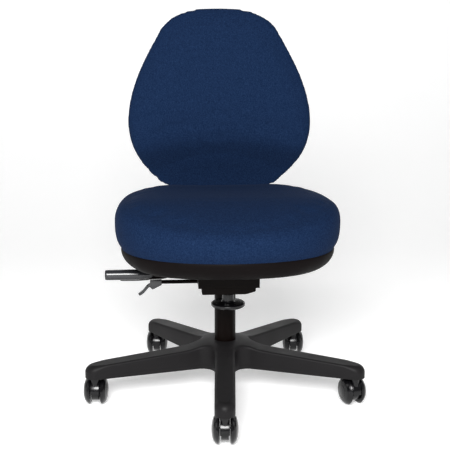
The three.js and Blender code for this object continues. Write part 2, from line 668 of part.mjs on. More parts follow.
function backLever() {
  const y = BACK_LEVER_Y;
  const { z } = gripPlace(BACK_GRIP);
  const rod = leverRod(y, BACK_GRIP, [
    [LEVER_X - 44, y, LEVER_Z], [LEVER_X - 74, y - 8, LEVER_Z], [LEVER_X - 94, BACK_GRIP.y + 8, z],
  ]);
  const tongue = solid(block([LEVER_X, y - 4, LEVER_Z - 3], [LEVER_X + 22, y + 4, LEVER_Z + 5]));
  const whole = cut(join(rod, leverBarrel(y), tongue), leverBore(y));
  return group(piece('back_lever', whole, STEEL), grip('back_lever_grip', BACK_GRIP));
}

// The seat tilt lever turns about its own straight rod and ends in a thin blade that curves down.
function tiltLever() {
  const root = LEVER_X - TILT_REACH;
  const outer = root - TILT_SOCKET;
  const z = TILT_LEVER_Z;
  const rod = alongX(LEVER_ROD_R, outer + GAP, LEVER_X + 10, TILT_LEVER_Y, z);
  const blade = new THREE.Shape();
  blade.moveTo(root, z + 5);
  blade.lineTo(root, z - 6);
  blade.lineTo(root - 9, z - 9);
  blade.bezierCurveTo(root - 27, z - 8, root - 39, z - 16, root - 50, z - 32);
  blade.lineTo(root - 56, z - 31);
  blade.bezierCurveTo(root - 49, z - 10, root - 37, z + 2, root - 23, z + 5);
  const body = solid(fromFront(blade, TILT_LEVER_Y - BLADE_W / 2, TILT_LEVER_Y + BLADE_W / 2, 6));
  const socket = solid(alongX(LEVER_ROD_R + GAP, outer, LEVER_X, TILT_LEVER_Y, z));
  return group(
    piece('tilt_lever', rod, STEEL),
    piece('tilt_lever_blade', cut(body, socket), GLOSS),
  );
}

// ---------------------------------------------------------------- seat
function seatPlan(inset) {
  const half = SEAT_HALF_W - inset;
  const front = SEAT_FRONT + inset;
  const rear = SEAT_REAR - inset;
  const shape = new THREE.Shape();
  shape.moveTo(0, rear);
  shape.lineTo(half * 0.5, rear);
  shape.bezierCurveTo(half * 0.87, rear, half, rear - 95, half, SEAT_WIDEST_Y);
  shape.bezierCurveTo(half, SEAT_WIDEST_Y - 120, half * 0.62, front, 0, front);
  shape.bezierCurveTo(-half * 0.62, front, -half, SEAT_WIDEST_Y - 120, -half, SEAT_WIDEST_Y);
  shape.bezierCurveTo(-half, rear - 95, -half * 0.87, rear, -half * 0.5, rear);
  return shape;
}

// A round-edged pad between two heights, no wider than its outline.
function pad(inset, z0, z1, edge, lift) {
  return fromPlan(seatPlan(inset), z0 + lift, z1 - lift, {
    bevelEnabled: true, bevelThickness: lift, bevelSize: edge, bevelOffset: -edge, bevelSegments: 4,
  });
}

function seatSide() {
  const side = new THREE.Shape();
  const front = SEAT_FRONT - 5;
  side.moveTo(front, PLATE_TOP);
  side.lineTo(front, SEAT_TOP - 60);
  side.bezierCurveTo(front, SEAT_TOP - 24, front + 50, SEAT_TOP - SEAT_DROP, front + 120, SEAT_TOP - 5);
  side.bezierCurveTo(front + 240, SEAT_TOP, SEAT_REAR - 124, SEAT_TOP, SEAT_REAR - 40, SEAT_TOP);
  side.lineTo(SEAT_REAR + 5, SEAT_TOP - 6);
  side.lineTo(SEAT_REAR + 5, PLATE_TOP);
  return side;
}

function seatCushion() {
  const upper = solid(pad(0, CUSHION_UNDER, SEAT_TOP + 2, CUSHION_EDGE * 0.7, CUSHION_EDGE));
  const foot = PLATE_TOP + PAN_WALL + BOARD_T + 3 * GAP;
  const lower = solid(fromPlan(seatPlan(PAN_INSET + PAN_FLARE), foot, CUSHION_UNDER + CUSHION_EDGE));
  const half = SEAT_HALF_W + 10;
  const whole = join(upper, lower).intersect(solid(fromSide(seatSide(), -half, half)));
  return piece('seat_cushion', whole, FABRIC);
}

function seatBoard() {
  const foot = PLATE_TOP + PAN_WALL + 2 * GAP;
  const board = fromPlan(seatPlan(PAN_INSET + PAN_WALL), foot + BOARD_EDGE, foot + BOARD_T - BOARD_EDGE, {
    bevelEnabled: true, bevelThickness: BOARD_EDGE, bevelSize: BOARD_EDGE,
    bevelOffset: -PAN_FLARE - BOARD_PLAY - BOARD_EDGE, bevelSegments: 1,
  });
  return piece('seat_board', cut(solid(board), ...boltHoles(foot - 1, foot + BOARD_T + 1)), PLYWOOD);
}

// Everything over the pan's rim.
const abovePan = (z) => solid(block([-2 * SEAT_HALF_W, 2 * SEAT_FRONT, z], [2 * SEAT_HALF_W, 2 * SEAT_REAR, z + 400]));

function panBowl(wall) {
  const deep = PAN_RIM - PLATE_TOP - GAP - wall;
  const bowl = solid(fromPlan(seatPlan(PAN_INSET + wall), PAN_RIM, PAN_RIM + deep, {
    bevelEnabled: true, bevelThickness: deep, bevelSize: PAN_FLARE, bevelOffset: -PAN_FLARE, bevelSegments: 4,
  }));
  return bowl.subtract(abovePan(PAN_RIM));
}

function seatPan() {
  const [width, depth] = PAD_SIZE;
  const pads = [-PAD_X, PAD_X].map((x) => solid(block(
    [x - width / 2, PAD_Y - depth / 2, PLATE_TOP + GAP - PAD_H],
    [x + width / 2, PAD_Y + depth / 2, PLATE_TOP + GAP + PAN_WALL / 2])));
  const bowl = join(cut(panBowl(0), panBowl(PAN_WALL), abovePan(PAN_RIM - 1)), ...pads);
  return piece('seat_pan', cut(bowl, ...boltHoles(PLATE_TOP - 1, PLATE_TOP + 20)), SHELL_PLASTIC);
}

function boltSpots() {
  const spots = [];
  for (const y of [BOLT_FRONT_Y, BOLT_REAR_Y]) {
    for (const x of [-BOLT_X, BOLT_X]) spots.push([x, y]);
  }
  return spots;
}

function boltHoles(z0, z1) {
  return boltSpots().map(([x, y]) => solid(upright(BOLT_R + GAP, z0, z1, x, y, 12)));
}

function seatBolts() {
  const under = PLATE_TOP - SHEET - GAP;
  const top = PLATE_TOP + PAN_WALL + BOARD_T;
  return boltSpots().map(([x, y], i) => piece(`seat_bolt_${i + 1}`, turned([
    [0, under - BOLT_HEAD_H], [BOLT_HEAD_R, under - BOLT_HEAD_H], [BOLT_HEAD_R, under], [BOLT_R, under],
    [BOLT_R, top], [0, top],
  ], 12).translate(x, y, 0), STEEL));
}

// A channel with its flanges turned down: one at each side of the housing, one in front of it.
function seatPlate() {
  const half = PLATE_HALF;
  const inner = half - SHEET;
  const front = HOUSING_FRONT - PLATE_PLAY - SHEET;
  const channel = fromFront(outline([
    [-half, PLATE_UNDER], [-inner, PLATE_UNDER], [-inner, PLATE_TOP - SHEET], [inner, PLATE_TOP - SHEET],
    [inner, PLATE_UNDER], [half, PLATE_UNDER], [half, PLATE_TOP], [-half, PLATE_TOP],
  ]), front, HOUSING_REAR);
  const flange = block([-half, front, PLATE_UNDER], [half, front + SHEET, PLATE_TOP]);
  const notch = block(
    [-half - 1, TILT_LEVER_Y - NOTCH_FRONT, PLATE_UNDER - 1], [1 - inner, BACK_LEVER_Y + NOTCH_REAR, PLATE_UNDER + NOTCH_H]);
  return piece('seat_plate', cut(
    join(solid(channel), solid(flange)),
    solid(notch),
    solid(alongX(TILT_PIN_R + PIN_PLAY, -half - 1, half + 1, TILT_Y, TILT_Z)),
    ...boltHoles(PLATE_TOP - SHEET - 1, PLATE_TOP + 1),
  ), BLACK_PAINT);
}

// ---------------------------------------------------------------- back
function backOutline(inset) {
  const half = BACK_HALF_W - inset;
  const top = BACK_TOP - inset;
  const foot = BACK_FOOT + inset;
  const wide = BACK_WIDEST_Z;
  const shape = new THREE.Shape();
  const side = (s) => [
    [s * half * 0.42, top + 2, s * half * 0.57, top - 24, s * half * 0.64, top - 53],
    [s * half * 0.75, top - 102, s * half, wide + 93, s * half, wide],
    [s * half, wide - 57, s * half * 0.83, foot + 80, s * half * 0.61, foot + 38],
    [s * half * 0.49, foot + 13, s * half * 0.3, foot, 0, foot],
  ];
  shape.moveTo(0, top);
  side(1).forEach((curve) => shape.bezierCurveTo(...curve));
  const path = [[0, top], ...side(-1).map((curve) => curve.slice(4))];
  side(-1).reverse().forEach((curve, i) => {
    const end = path[path.length - 2 - i];
    shape.bezierCurveTo(curve[2], curve[3], curve[0], curve[1], ...end);
  });
  return shape;
}

const cushionFront = () => new THREE.SplineCurve([
  [TAIL_Y + 4, BACK_FOOT - 2], [TAIL_Y - 8, BACK_FOOT + 42], [LUMBAR_Y + 25, LUMBAR_Z - 62],
  [LUMBAR_Y + 5, LUMBAR_Z - 24], [LUMBAR_Y, LUMBAR_Z], [LUMBAR_Y + 4, LUMBAR_Z + 45],
  [LUMBAR_Y + 18, LUMBAR_Z + 125], [LUMBAR_Y + 40, LUMBAR_Z + 215], [HEAD_Y + 2, BACK_TOP + 2],
].map(([y, z]) => new THREE.Vector2(y, z))).getPoints(18).map((p) => [p.x, p.y]);

// Front of the curved board, from the bottom up; the lumbar part is flat for the height sleeve.
const boardFront = (shift) => [
  [TAIL_Y + 20, BACK_FOOT - 2], [BACK_BOARD_Y + 6, SLEEVE_Z - 38], [BACK_BOARD_Y, SLEEVE_Z - 5],
  [BACK_BOARD_Y, SLEEVE_TOP + 10], [BACK_BOARD_Y + 8, SLEEVE_TOP + 90], [HEAD_Y + 18, BACK_TOP - 37],
  [HEAD_Y + 24, BACK_TOP + 2],
].map(([y, z]) => [y + shift, z]);

const shellRear = (shift) => [
  [SHELL_REAR - 6, BACK_FOOT - 2], [SHELL_REAR, BACK_FOOT + 70], [SHELL_REAR, BACK_TOP - 200],
  [SHELL_REAR - 5, BACK_TOP - 80], [SHELL_REAR - 16, BACK_TOP + 2],
].map(([y, z]) => [y - shift, z]);

// A curved slab of the back between two side-view lines, trimmed to the outline.
function backSlab(front, rear, inset) {
  const half = BACK_HALF_W + 10;
  const side = solid(fromSide(outline([...front, ...rear.toReversed()]), -half, half));
  return side.intersect(solid(fromFront(backOutline(inset), 0, 2 * SHELL_REAR, 7)));
}

function backCushion() {
  return piece('back_cushion', backSlab(cushionFront(), boardFront(-GAP), 0), FABRIC);
}

function backBoard() {
  const board = backSlab(boardFront(0), boardFront(BACK_BOARD_T), SHELL_INSET + BOARD_INSET);
  return piece('back_board', board, PLYWOOD);
}

function backShell() {
  const front = BACK_BOARD_T + GAP;
  const outer = backSlab(boardFront(front), shellRear(0), SHELL_INSET);
  const inner = backSlab(boardFront(front - 20), shellRear(SHELL_WALL), SHELL_INSET + SHELL_WALL);
  const half = BAR_W / 2 + 6;
  const mouth = solid(block([-half, BAR_Y - 6, BACK_FOOT - 5], [half, BAR_Y + BAR_T + 3, BACK_FOOT + 60]));
  return piece('back_shell', cut(outer, inner, mouth), SHELL_PLASTIC);
}

function backSleeve() {
  const front = BACK_BOARD_Y + BACK_BOARD_T + GAP;
  const core = BAR_W / 2 + SLEEVE_WALL;
  const half = BAR_W / 2 + SLEEVE_FLANGE_W;
  const slot = BAR_W / 2 + SLOT_PLAY;
  return piece('back_height_sleeve', cut(
    join(
      solid(block([-core, front, SLEEVE_Z], [core, BAR_Y + BAR_T + SLEEVE_WALL, SLEEVE_TOP])),
      solid(block([-half, front, SLEEVE_Z + 10], [half, front + SLEEVE_FLANGE_T, SLEEVE_TOP - 10])),
    ),
    solid(block([-slot, BAR_Y - SLOT_PLAY, SLEEVE_Z - 1], [slot, BAR_Y + BAR_T + SLOT_PLAY, SLEEVE_TOP + 1])),
  ), NYLON);
}

function backBar() {
  const bar = new THREE.Shape();
  const low = RECLINE_Z - BAR_T / 2;
  const high = RECLINE_Z + BAR_T / 2;
  const bend = BAR_Y - BAR_BEND_R;
  bar.moveTo(RECLINE_Y, low);
  bar.lineTo(bend, low);
  bar.absarc(bend, high + BAR_BEND_R, BAR_BEND_R + BAR_T, -Math.PI / 2, 0);
  bar.lineTo(BAR_Y + BAR_T, BAR_TOP);
  bar.lineTo(BAR_Y, BAR_TOP);
  bar.lineTo(BAR_Y, high + BAR_BEND_R);
  bar.absarc(bend, high + BAR_BEND_R, BAR_BEND_R, 0, -Math.PI / 2, true);
  bar.lineTo(RECLINE_Y, high);
  const half = BAR_W / 2;
  const body = solid(fromSide(bar, -half, half));
  const boss = solid(alongX(BAR_BOSS_R, -half, half, RECLINE_Y, RECLINE_Z));
  const bore = solid(alongX(RECLINE_PIN_R + PIN_PLAY, -half - 1, half + 1, RECLINE_Y, RECLINE_Z));
  return piece('back_bar', cut(join(body, boss), bore), BLACK_PAINT);
}

// ---------------------------------------------------------------- the chair
function base() {
  const star = group(baseStar());
  for (let number = 1; number <= ARMS; number += 1) star.add(castor(number));
  star.rotation.z = radians(BASE_TURN);
  return group(star, columnTube(), columnBush(), thrustBearing());
}

const mechanism = () => group(
  gasCylinder(), housing(), ...mechanismPins(), tensionSpring(), springPlate(), valvePin(),
  group(tensionKnob(), tensionScrew()), heightLever(), backLever(), tiltLever());
const seat = () => group(seatPlate(), seatPan(), seatBoard(), seatCushion(), ...seatBolts());
const back = () => group(backBar(), backSleeve(), backBoard(), backShell(), backCushion());

const chair = group(base(), group(pistonRod(), rodClip()), mechanism(), seat(), back());
chair.updateMatrixWorld(true);
const box = new THREE.Box3().setFromObject(chair, true);
const middle = box.getCenter(new THREE.Vector3());
chair.position.set(-middle.x, -middle.y, -box.min.z);

export default group(chair);
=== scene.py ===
import json
import math

import bmesh
import bpy
import numpy as np
from mathutils import Matrix, Vector


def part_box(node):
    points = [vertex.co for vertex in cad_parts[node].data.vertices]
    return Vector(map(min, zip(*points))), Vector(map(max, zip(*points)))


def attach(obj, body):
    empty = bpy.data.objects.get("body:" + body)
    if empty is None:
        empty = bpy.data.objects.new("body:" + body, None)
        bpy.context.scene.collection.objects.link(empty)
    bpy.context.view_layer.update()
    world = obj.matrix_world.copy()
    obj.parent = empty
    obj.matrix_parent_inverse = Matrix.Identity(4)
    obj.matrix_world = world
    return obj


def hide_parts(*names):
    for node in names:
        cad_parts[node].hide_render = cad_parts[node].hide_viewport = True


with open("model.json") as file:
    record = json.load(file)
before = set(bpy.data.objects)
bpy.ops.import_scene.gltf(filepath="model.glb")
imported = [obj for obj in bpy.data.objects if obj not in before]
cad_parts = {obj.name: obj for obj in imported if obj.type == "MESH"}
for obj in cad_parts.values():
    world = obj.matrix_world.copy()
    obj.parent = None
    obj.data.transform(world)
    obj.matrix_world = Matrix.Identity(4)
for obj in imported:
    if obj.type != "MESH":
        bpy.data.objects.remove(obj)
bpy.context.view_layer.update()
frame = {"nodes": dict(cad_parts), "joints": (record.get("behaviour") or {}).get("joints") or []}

bl_info = {
    "name": "Task Chair",
    "version": (1, 0, 0),
    "blender": (4, 5, 0),
    "location": "View3D > Sidebar > Chair",
    "description": "Builds the finished surfaces of a swivel task chair around its mechanical frame",
    "category": "Object",
}

MM = 0.001
TURNED_EDGE = 40        # degrees: sharper than this stays an edge on a turned piece
SHEET = 3 * MM          # pressed steel thickness


# ------------------------------------------------------------------ places read from the frame
def low(node):
    return np.array(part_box(node)[0])


def high(node):
    return np.array(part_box(node)[1])


def centre(node):
    return (low(node) + high(node)) / 2


def joint(name):
    return next(one for one in frame["joints"] if one["name"] == name)


COLUMN = Vector((centre("column_tube")[0], centre("column_tube")[1], 0))
CASTORS = range(1, 6)
ARM_STEP = 2 * math.pi / 5
FRONT_CASTOR = Vector(centre("castor_stem_1")) - COLUMN
FRONT_ARM = math.atan2(FRONT_CASTOR.y, FRONT_CASTOR.x)


def castor_spot(number):
    """The stem's place on the floor plan and the way the castor points."""
    stem = centre(f"castor_stem_{number}")
    axle = centre(f"castor_axle_{number}")
    trail = Vector(axle[:2] - stem[:2])
    return Vector((stem[0], stem[1], 0)), math.atan2(trail.y, trail.x) - math.pi / 2


# ------------------------------------------------------------------ colours
def to_linear(hex_text):
    """An sRGB hex colour as linear red, green, blue and alpha."""
    parts = [int(hex_text[k:k + 2], 16) / 255 for k in (0, 2, 4)]
    return [c / 12.92 if c <= 0.04045 else ((c + 0.055) / 1.055) ** 2.4 for c in parts] + [1.0]


def colour_setting(name, hex_text, words):
    return bpy.props.FloatVectorProperty(
        name=name, description=words, subtype="COLOR", size=4, min=0, max=1, default=to_linear(hex_text))


def length_setting(name, metres, words):
    return bpy.props.FloatProperty(name=name, description=words, unit="LENGTH", default=metres, min=0)


class ChairColours(bpy.types.PropertyGroup):
    fabric: colour_setting("Fabric", "101f38", "Body colour of the woven cover")
    # The weave's lattice is real, but its two colours are painted light: the raised-thread colour is a
    # painted highlight on the thread crowns, the hollow colour is painted shade between the threads
    fabric_lit_thread: colour_setting("Fabric thread", "1a2c49", "Raised thread of the woven cover")
    fabric_hollow_shade: colour_setting("Fabric shade", "061329", "Hollow between the threads")
    fabric_sheen: colour_setting("Fabric sheen", "8a98bd", "Loose fibre ends at a grazing look")
    nylon: colour_setting("Base nylon", "181718", "Moulded star base")
    skirt: colour_setting("Skirt plastic", "0b0808", "Seat pan and back shell")
    gloss: colour_setting("Gloss plastic", "070709", "Castors and knob")
    grip: colour_setting("Grip plastic", "1d1e21", "Lever grips")
    paint: colour_setting("Steel paint", "080403", "Column, mechanism and back bar")


class ChairSizes(bpy.types.PropertyGroup):
    thread: length_setting("Thread spacing", 0.0032, "Spacing of the raised threads in the cover")
    arm_edge: length_setting("Arm edge", 0.005, "Rounding along the top of the base's arms")
    sheet_edge: length_setting("Sheet edge", 0.0012, "Rounding on pressed steel")
    foam_swell: length_setting("Foam swell", 0.006, "How far the foam may push its cover out")


def colours():
    return bpy.context.scene.chair_colours


def sizes():
    return bpy.context.scene.chair_sizes


# ------------------------------------------------------------------ material helpers
class Recipe:
    """A material under construction: its node tree and its main shader."""

    def __init__(self, name, **shader_values):
        self.material = bpy.data.materials.new(name)
        self.material.use_nodes = True
        self.tree = self.material.node_tree
        self.shader = self.tree.nodes["Principled BSDF"]
        for key, value in shader_values.items():
            self.shader.inputs[key.replace("_", " ")].default_value = value

    def add(self, kind, links=(), **settings):
        """Adds a node. Settings are its properties, and links pairs an input with a value or an output."""
        node = self.tree.nodes.new(kind)
        for key, value in settings.items():
            setattr(node, key, value)
        for key, value in dict(links).items():
            if isinstance(value, bpy.types.NodeSocket):
                self.tree.links.new(value, node.inputs[key])
            else:
                node.inputs[key].default_value = value
        return node

    def drive(self, socket, source):
        self.tree.links.new(source, self.shader.inputs[socket])


def shade(colour, gain):
    return [min(1, c * gain) for c in colour[:3]] + [1.0]


def grained(recipe, colour, grain_mm, depth_mm, spread, rough, rough_spread, slow_mm=60):
    """A moulded or painted skin: a fine grain in relief, with slow drifts of tone and polish."""
    place = recipe.add("ShaderNodeTexCoord").outputs["Object"]
    grain = recipe.add("ShaderNodeTexNoise", {"Vector": place, "Scale": 1000 / grain_mm, "Detail": 2.0})
    slow = recipe.add("ShaderNodeTexNoise", {"Vector": place, "Scale": 1000 / slow_mm, "Detail": 3.0})
    tone = recipe.add("ShaderNodeMix", {
        0: slow.outputs["Fac"], 6: shade(colour, 1 - spread), 7: shade(colour, 1 + spread)}, data_type="RGBA")
    recipe.drive("Base Color", tone.outputs[2])
    polish = recipe.add("ShaderNodeMapRange", {
        "Value": slow.outputs["Fac"], "From Min": 0.3, "From Max": 0.7,
        "To Min": rough - rough_spread, "To Max": rough + rough_spread})
    recipe.drive("Roughness", polish.outputs["Result"])
    bump = recipe.add("ShaderNodeBump", {
        "Height": grain.outputs["Fac"], "Strength": 0.6, "Distance": depth_mm * MM})
    recipe.drive("Normal", bump.outputs["Normal"])
    return recipe.material


def woven_polyester():
    """Woven polyester: short raised threads in a diagonal lattice, dull face-on and paler at a grazing
    look, where loose fibre ends catch the light. The real thread pitch is about 1.5 mm; it is drawn at
    twice that so that it shows."""
    recipe = Recipe("woven_polyester", Roughness=0.9, Sheen_Weight=0.03, Sheen_Roughness=0.4,
                    Specular_IOR_Level=0.03)
    recipe.shader.inputs["Sheen Tint"].default_value = colours().fabric_sheen
    spot = recipe.add("ShaderNodeTexCoord")
    place = recipe.add("ShaderNodeSeparateXYZ", {"Vector": spot.outputs["Object"]})
    facing = recipe.add("ShaderNodeSeparateXYZ", {"Vector": spot.outputs["Normal"]})
    turns = 2 * math.pi / sizes().thread / math.sqrt(2)
    parts = []
    for across, along, normal in (("X", "Y", "Z"), ("X", "Z", "Y"), ("Y", "Z", "X")):
        u, v = (recipe.add("ShaderNodeMath", {0: place.outputs[k], 1: turns}, operation="MULTIPLY").outputs[0]
                for k in (across, along))
        crossed = [recipe.add("ShaderNodeMath", {0: u, 1: v}, operation=way).outputs[0]
                   for way in ("ADD", "SUBTRACT")]
        rising, falling = (
            recipe.add("ShaderNodeMath", {0: one}, operation="SINE").outputs[0] for one in crossed)
        lattice = recipe.add("ShaderNodeMath", {0: rising, 1: falling}, operation="MULTIPLY").outputs[0]
        turned_to = recipe.add("ShaderNodeMath", {0: facing.outputs[normal]}, operation="ABSOLUTE").outputs[0]
        weight = recipe.add("ShaderNodeMath", {0: turned_to, 1: 5.0}, operation="POWER").outputs[0]
        parts.append(recipe.add("ShaderNodeMath", {0: lattice, 1: weight}, operation="MULTIPLY").outputs[0])
    total = parts[0]
    for part in parts[1:]:
        total = recipe.add("ShaderNodeMath", {0: total, 1: part}, operation="ADD").outputs[0]
    yarn = recipe.add("ShaderNodeTexNoise", {
        "Vector": spot.outputs["Object"], "Scale": 1000 / 2.4, "Detail": 2.0})
    height = recipe.add(
        "ShaderNodeMath", {0: total, 1: 0.26, 2: yarn.outputs["Fac"]}, operation="MULTIPLY_ADD")
    # Painted light and shade: the colour follows the weave's height, with painted shade in the hollows
    # between threads and a painted highlight on the raised threads
    ramp = recipe.add("ShaderNodeValToRGB", {"Fac": height.outputs[0]})
    ramp.color_ramp.elements[0].position = 0.25
    ramp.color_ramp.elements[0].color = colours().fabric_hollow_shade
    ramp.color_ramp.elements[1].position = 0.85
    ramp.color_ramp.elements[1].color = colours().fabric_lit_thread
    middle = ramp.color_ramp.elements.new(0.5)
    middle.color = colours().fabric
    recipe.drive("Base Color", ramp.outputs["Color"])
    bump = recipe.add("ShaderNodeBump", {"Height": height.outputs[0], "Strength": 0.45, "Distance": 0.4 * MM})
    recipe.drive("Normal", bump.outputs["Normal"])
    return recipe.material


def moulded_nylon():
    """Glass-filled nylon, injection moulded in a spark-eroded tool: an even satin grain of about 0.8 mm."""
    recipe = Recipe("moulded_nylon", IOR=1.53, Specular_IOR_Level=0.09)
    return grained(recipe, colours().nylon, 1.4, 0.06, 0.12, 0.5, 0.05)


def moulded_polypropylene():
    """Polypropylene, injection moulded with a leather-like grain: dull, with a faint broken shine."""
    recipe = Recipe("moulded_polypropylene", IOR=1.49, Specular_IOR_Level=0.04)
    return grained(recipe, colours().skirt, 1.8, 0.08, 0.15, 0.55, 0.06)


def polished_nylon():
    """Nylon moulded in a polished tool: near black, with small hard highlights and slight flow marks."""
    recipe = Recipe("polished_nylon", IOR=1.53, Specular_IOR_Level=0.3)
    return grained(recipe, colours().gloss, 9.0, 0.02, 0.25, 0.22, 0.04, slow_mm=25)


def polished_abs():
    """ABS moulded in a fine-ground tool: dark grey, with a long soft highlight along each grip."""
    recipe = Recipe("polished_abs", IOR=1.54)
    return grained(recipe, colours().grip, 1.2, 0.02, 0.12, 0.26, 0.04)


def powder_coat():
    """Epoxy powder coat on steel: an even orange peel of about 3 mm under a soft gloss."""
    recipe = Recipe("powder_coat", IOR=1.5, Specular_IOR_Level=0.05)
    return grained(recipe, colours().paint, 3.0, 0.05, 0.15, 0.36, 0.05)


def zinc_plate():
    """Zinc-plated steel: grey, with cloudy patches of duller metal."""
    recipe = Recipe("zinc_plate", Metallic=1.0)
    return grained(recipe, to_linear("8c8d90"), 2.0, 0.02, 0.18, 0.36, 0.08, slow_mm=15)


def ground_steel():
    """Centreless-ground, chromed steel: bright, with hairline marks around the shaft."""
    recipe = Recipe("ground_steel", Metallic=1.0)
    spot = recipe.add("ShaderNodeTexCoord")
    place = recipe.add("ShaderNodeMapping", {"Vector": spot.outputs["Object"], "Scale": (40, 40, 2500)})
    lines = recipe.add("ShaderNodeTexNoise", {"Vector": place.outputs["Vector"], "Scale": 1.0, "Detail": 3.0})
    tone = recipe.add("ShaderNodeMix", {
        0: lines.outputs["Fac"], 6: to_linear("b4b6ba"), 7: to_linear("d6d8da")}, data_type="RGBA")
    recipe.drive("Base Color", tone.outputs[2])
    polish = recipe.add("ShaderNodeMapRange", {"Value": lines.outputs["Fac"], "To Min": 0.1, "To Max": 0.28})
    recipe.drive("Roughness", polish.outputs["Result"])
    return recipe.material


def natural_acetal():
    """Unpigmented acetal: a waxy, milky white."""
    recipe = Recipe("natural_acetal", IOR=1.48, Subsurface_Weight=0.15)
    return grained(recipe, to_linear("dcd8cc"), 1.5, 0.02, 0.05, 0.42, 0.05)


def beech_plywood():
    """Moulded beech plywood: pale, with thin dark glue lines between 1.5 mm veneers."""
    recipe = Recipe("beech_plywood", Roughness=0.65)
    spot = recipe.add("ShaderNodeTexCoord")
    veneer = recipe.add("ShaderNodeTexWave", {
        "Vector": spot.outputs["Object"], "Scale": 1000 / 1.5 / 20, "Distortion": 1.5, "Detail": 2.0},
        bands_direction="Z")
    tone = recipe.add("ShaderNodeMix", {
        0: veneer.outputs["Fac"], 6: to_linear("8d6a41"), 7: to_linear("c9a572")}, data_type="RGBA")
    recipe.drive("Base Color", tone.outputs[2])
    bump = recipe.add("ShaderNodeBump", {"Height": veneer.outputs["Fac"], "Distance": 0.1 * MM})
    recipe.drive("Normal", bump.outputs["Normal"])
    return recipe.material


MAKERS = (woven_polyester, moulded_nylon, moulded_polypropylene, polished_nylon, polished_abs, powder_coat,
          zinc_plate, ground_steel, natural_acetal, beech_plywood)


def material(name):
    found = bpy.data.materials.get(name)
    return found or next(maker for maker in MAKERS if maker.__name__ == name)()


# ------------------------------------------------------------------ mesh helpers
def make_object(name, points, faces, smooth_angle=None):
    mesh = bpy.data.meshes.new(name)
    mesh.from_pydata([tuple(p) for p in points], [], [tuple(f) for f in faces])
    mesh.validate()
    build = bmesh.new()
    build.from_mesh(mesh)
    bmesh.ops.remove_doubles(build, verts=build.verts, dist=1e-6)
    bmesh.ops.recalc_face_normals(build, faces=build.faces)
    build.to_mesh(mesh)
    build.free()
    mesh.shade_smooth()
    if smooth_angle is not None:
        mesh.set_sharp_from_angle(angle=math.radians(smooth_angle))
    thing = bpy.data.objects.new(name, mesh)
    bpy.context.scene.collection.objects.link(thing)
    return thing


def settle(thing, body, slot, finish, *nodes):
    """Gives a finished piece its material and its body, and hides the frame parts that it stands for."""
    thing.data.materials.clear()
    thing.data.materials.append(material(finish))
    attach(thing, body)
    if nodes:
        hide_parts(*nodes)
    return thing


def fitted(name, shape, place, *given):
    """Makes a piece from points and faces, sets it in its place and settles it."""
    points, faces = shape
    return settle(make_object(name, moved(points, place), faces, smooth_angle=TURNED_EDGE), *given)


def rectangle(low_corner, high_corner):
    """The four corners of a flat rectangle, counter-clockwise."""
    (x0, y0), (x1, y1) = low_corner, high_corner
    return [(x0, y0), (x1, y0), (x1, y1), (x0, y1)]


def ring_faces(count, around, closed=True):
    """Quads between neighbouring rings of the same number of points."""
    faces = []
    last = around if closed else around - 1
    for i in range(count - 1):
        for j in range(last):
            k = (j + 1) % around
            faces.append((i * around + j, i * around + k, (i + 1) * around + k, (i + 1) * around + j))
    return faces


def loft(rings, cap_first=True, cap_last=True):
    """Points and faces of a skin through closed rings, with flat fans on its ends."""
    around = len(rings[0])
    points = [p for ring in rings for p in ring]
    faces = ring_faces(len(rings), around)
    for wanted, ring, start in ((cap_first, rings[0], 0), (cap_last, rings[-1], (len(rings) - 1) * around)):
        if wanted:
            points.append(tuple(np.mean(np.array(ring), axis=0)))
            hub = len(points) - 1
            faces += [(start + j, start + (j + 1) % around, hub) for j in range(around)]
    return points, faces


def fillet(corners, radius, closed=True, steps=5):
    """Rounds the corners of a flat outline. radius is one number or one for each corner."""
    corners = [np.array(c, float) for c in corners]
    count = len(corners)
    radii = [radius] * count if np.isscalar(radius) else list(radius)
    result = []
    for i, corner in enumerate(corners):
        ends = not closed and i in (0, count - 1)
        if ends or radii[i] <= 0:
            result.append(corner)
            continue
        back = corners[i - 1] - corner
        ahead = corners[(i + 1) % count] - corner
        back_length, ahead_length = np.linalg.norm(back), np.linalg.norm(ahead)
        back, ahead = back / back_length, ahead / ahead_length
        half = math.acos(max(-1, min(1, float(back @ ahead)))) / 2
        if half > math.pi / 2 - 0.02:
            result.append(corner)
            continue
        reach = min(radii[i] / math.tan(half), 0.49 * back_length, 0.49 * ahead_length)
        first, last = corner + back * reach, corner + ahead * reach
        for k in range(steps + 1):
            t = k / steps
            bulge = (1 - t) ** 2 * first + 2 * t * (1 - t) * corner + t ** 2 * last
            result.append(bulge)
    return np.array(result)


def revolve(profile, radius=0.0, around=64, steps=5):
    """Turns an open profile of (radius, height) about the upright axis."""
    line = fillet(profile, radius, closed=False, steps=steps) if radius else np.array(profile, float)
    rings = []
    for r, z in line:
        r = max(r, 1e-5)
        angles = np.arange(around) * 2 * math.pi / around
        rings.append(np.stack([r * np.cos(angles), r * np.sin(angles), np.full(around, z)], 1))
    return loft(rings)


def revolve_closed(profile, radius=0.0, around=64, steps=5):
    """Turns a closed profile that stays off the axis."""
    line = fillet(profile, radius, steps=steps) if radius else np.array(profile, float)
    angles = np.arange(around) * 2 * math.pi / around
    rings = [np.stack([r * np.cos(angles), r * np.sin(angles), np.full(around, z)], 1) for r, z in line]
    points = [p for ring in rings for p in ring]
    return points, ring_faces(len(rings), around) + [
        ((len(rings) - 1) * around + j, (len(rings) - 1) * around + (j + 1) % around, (j + 1) % around, j)
        for j in range(around)]


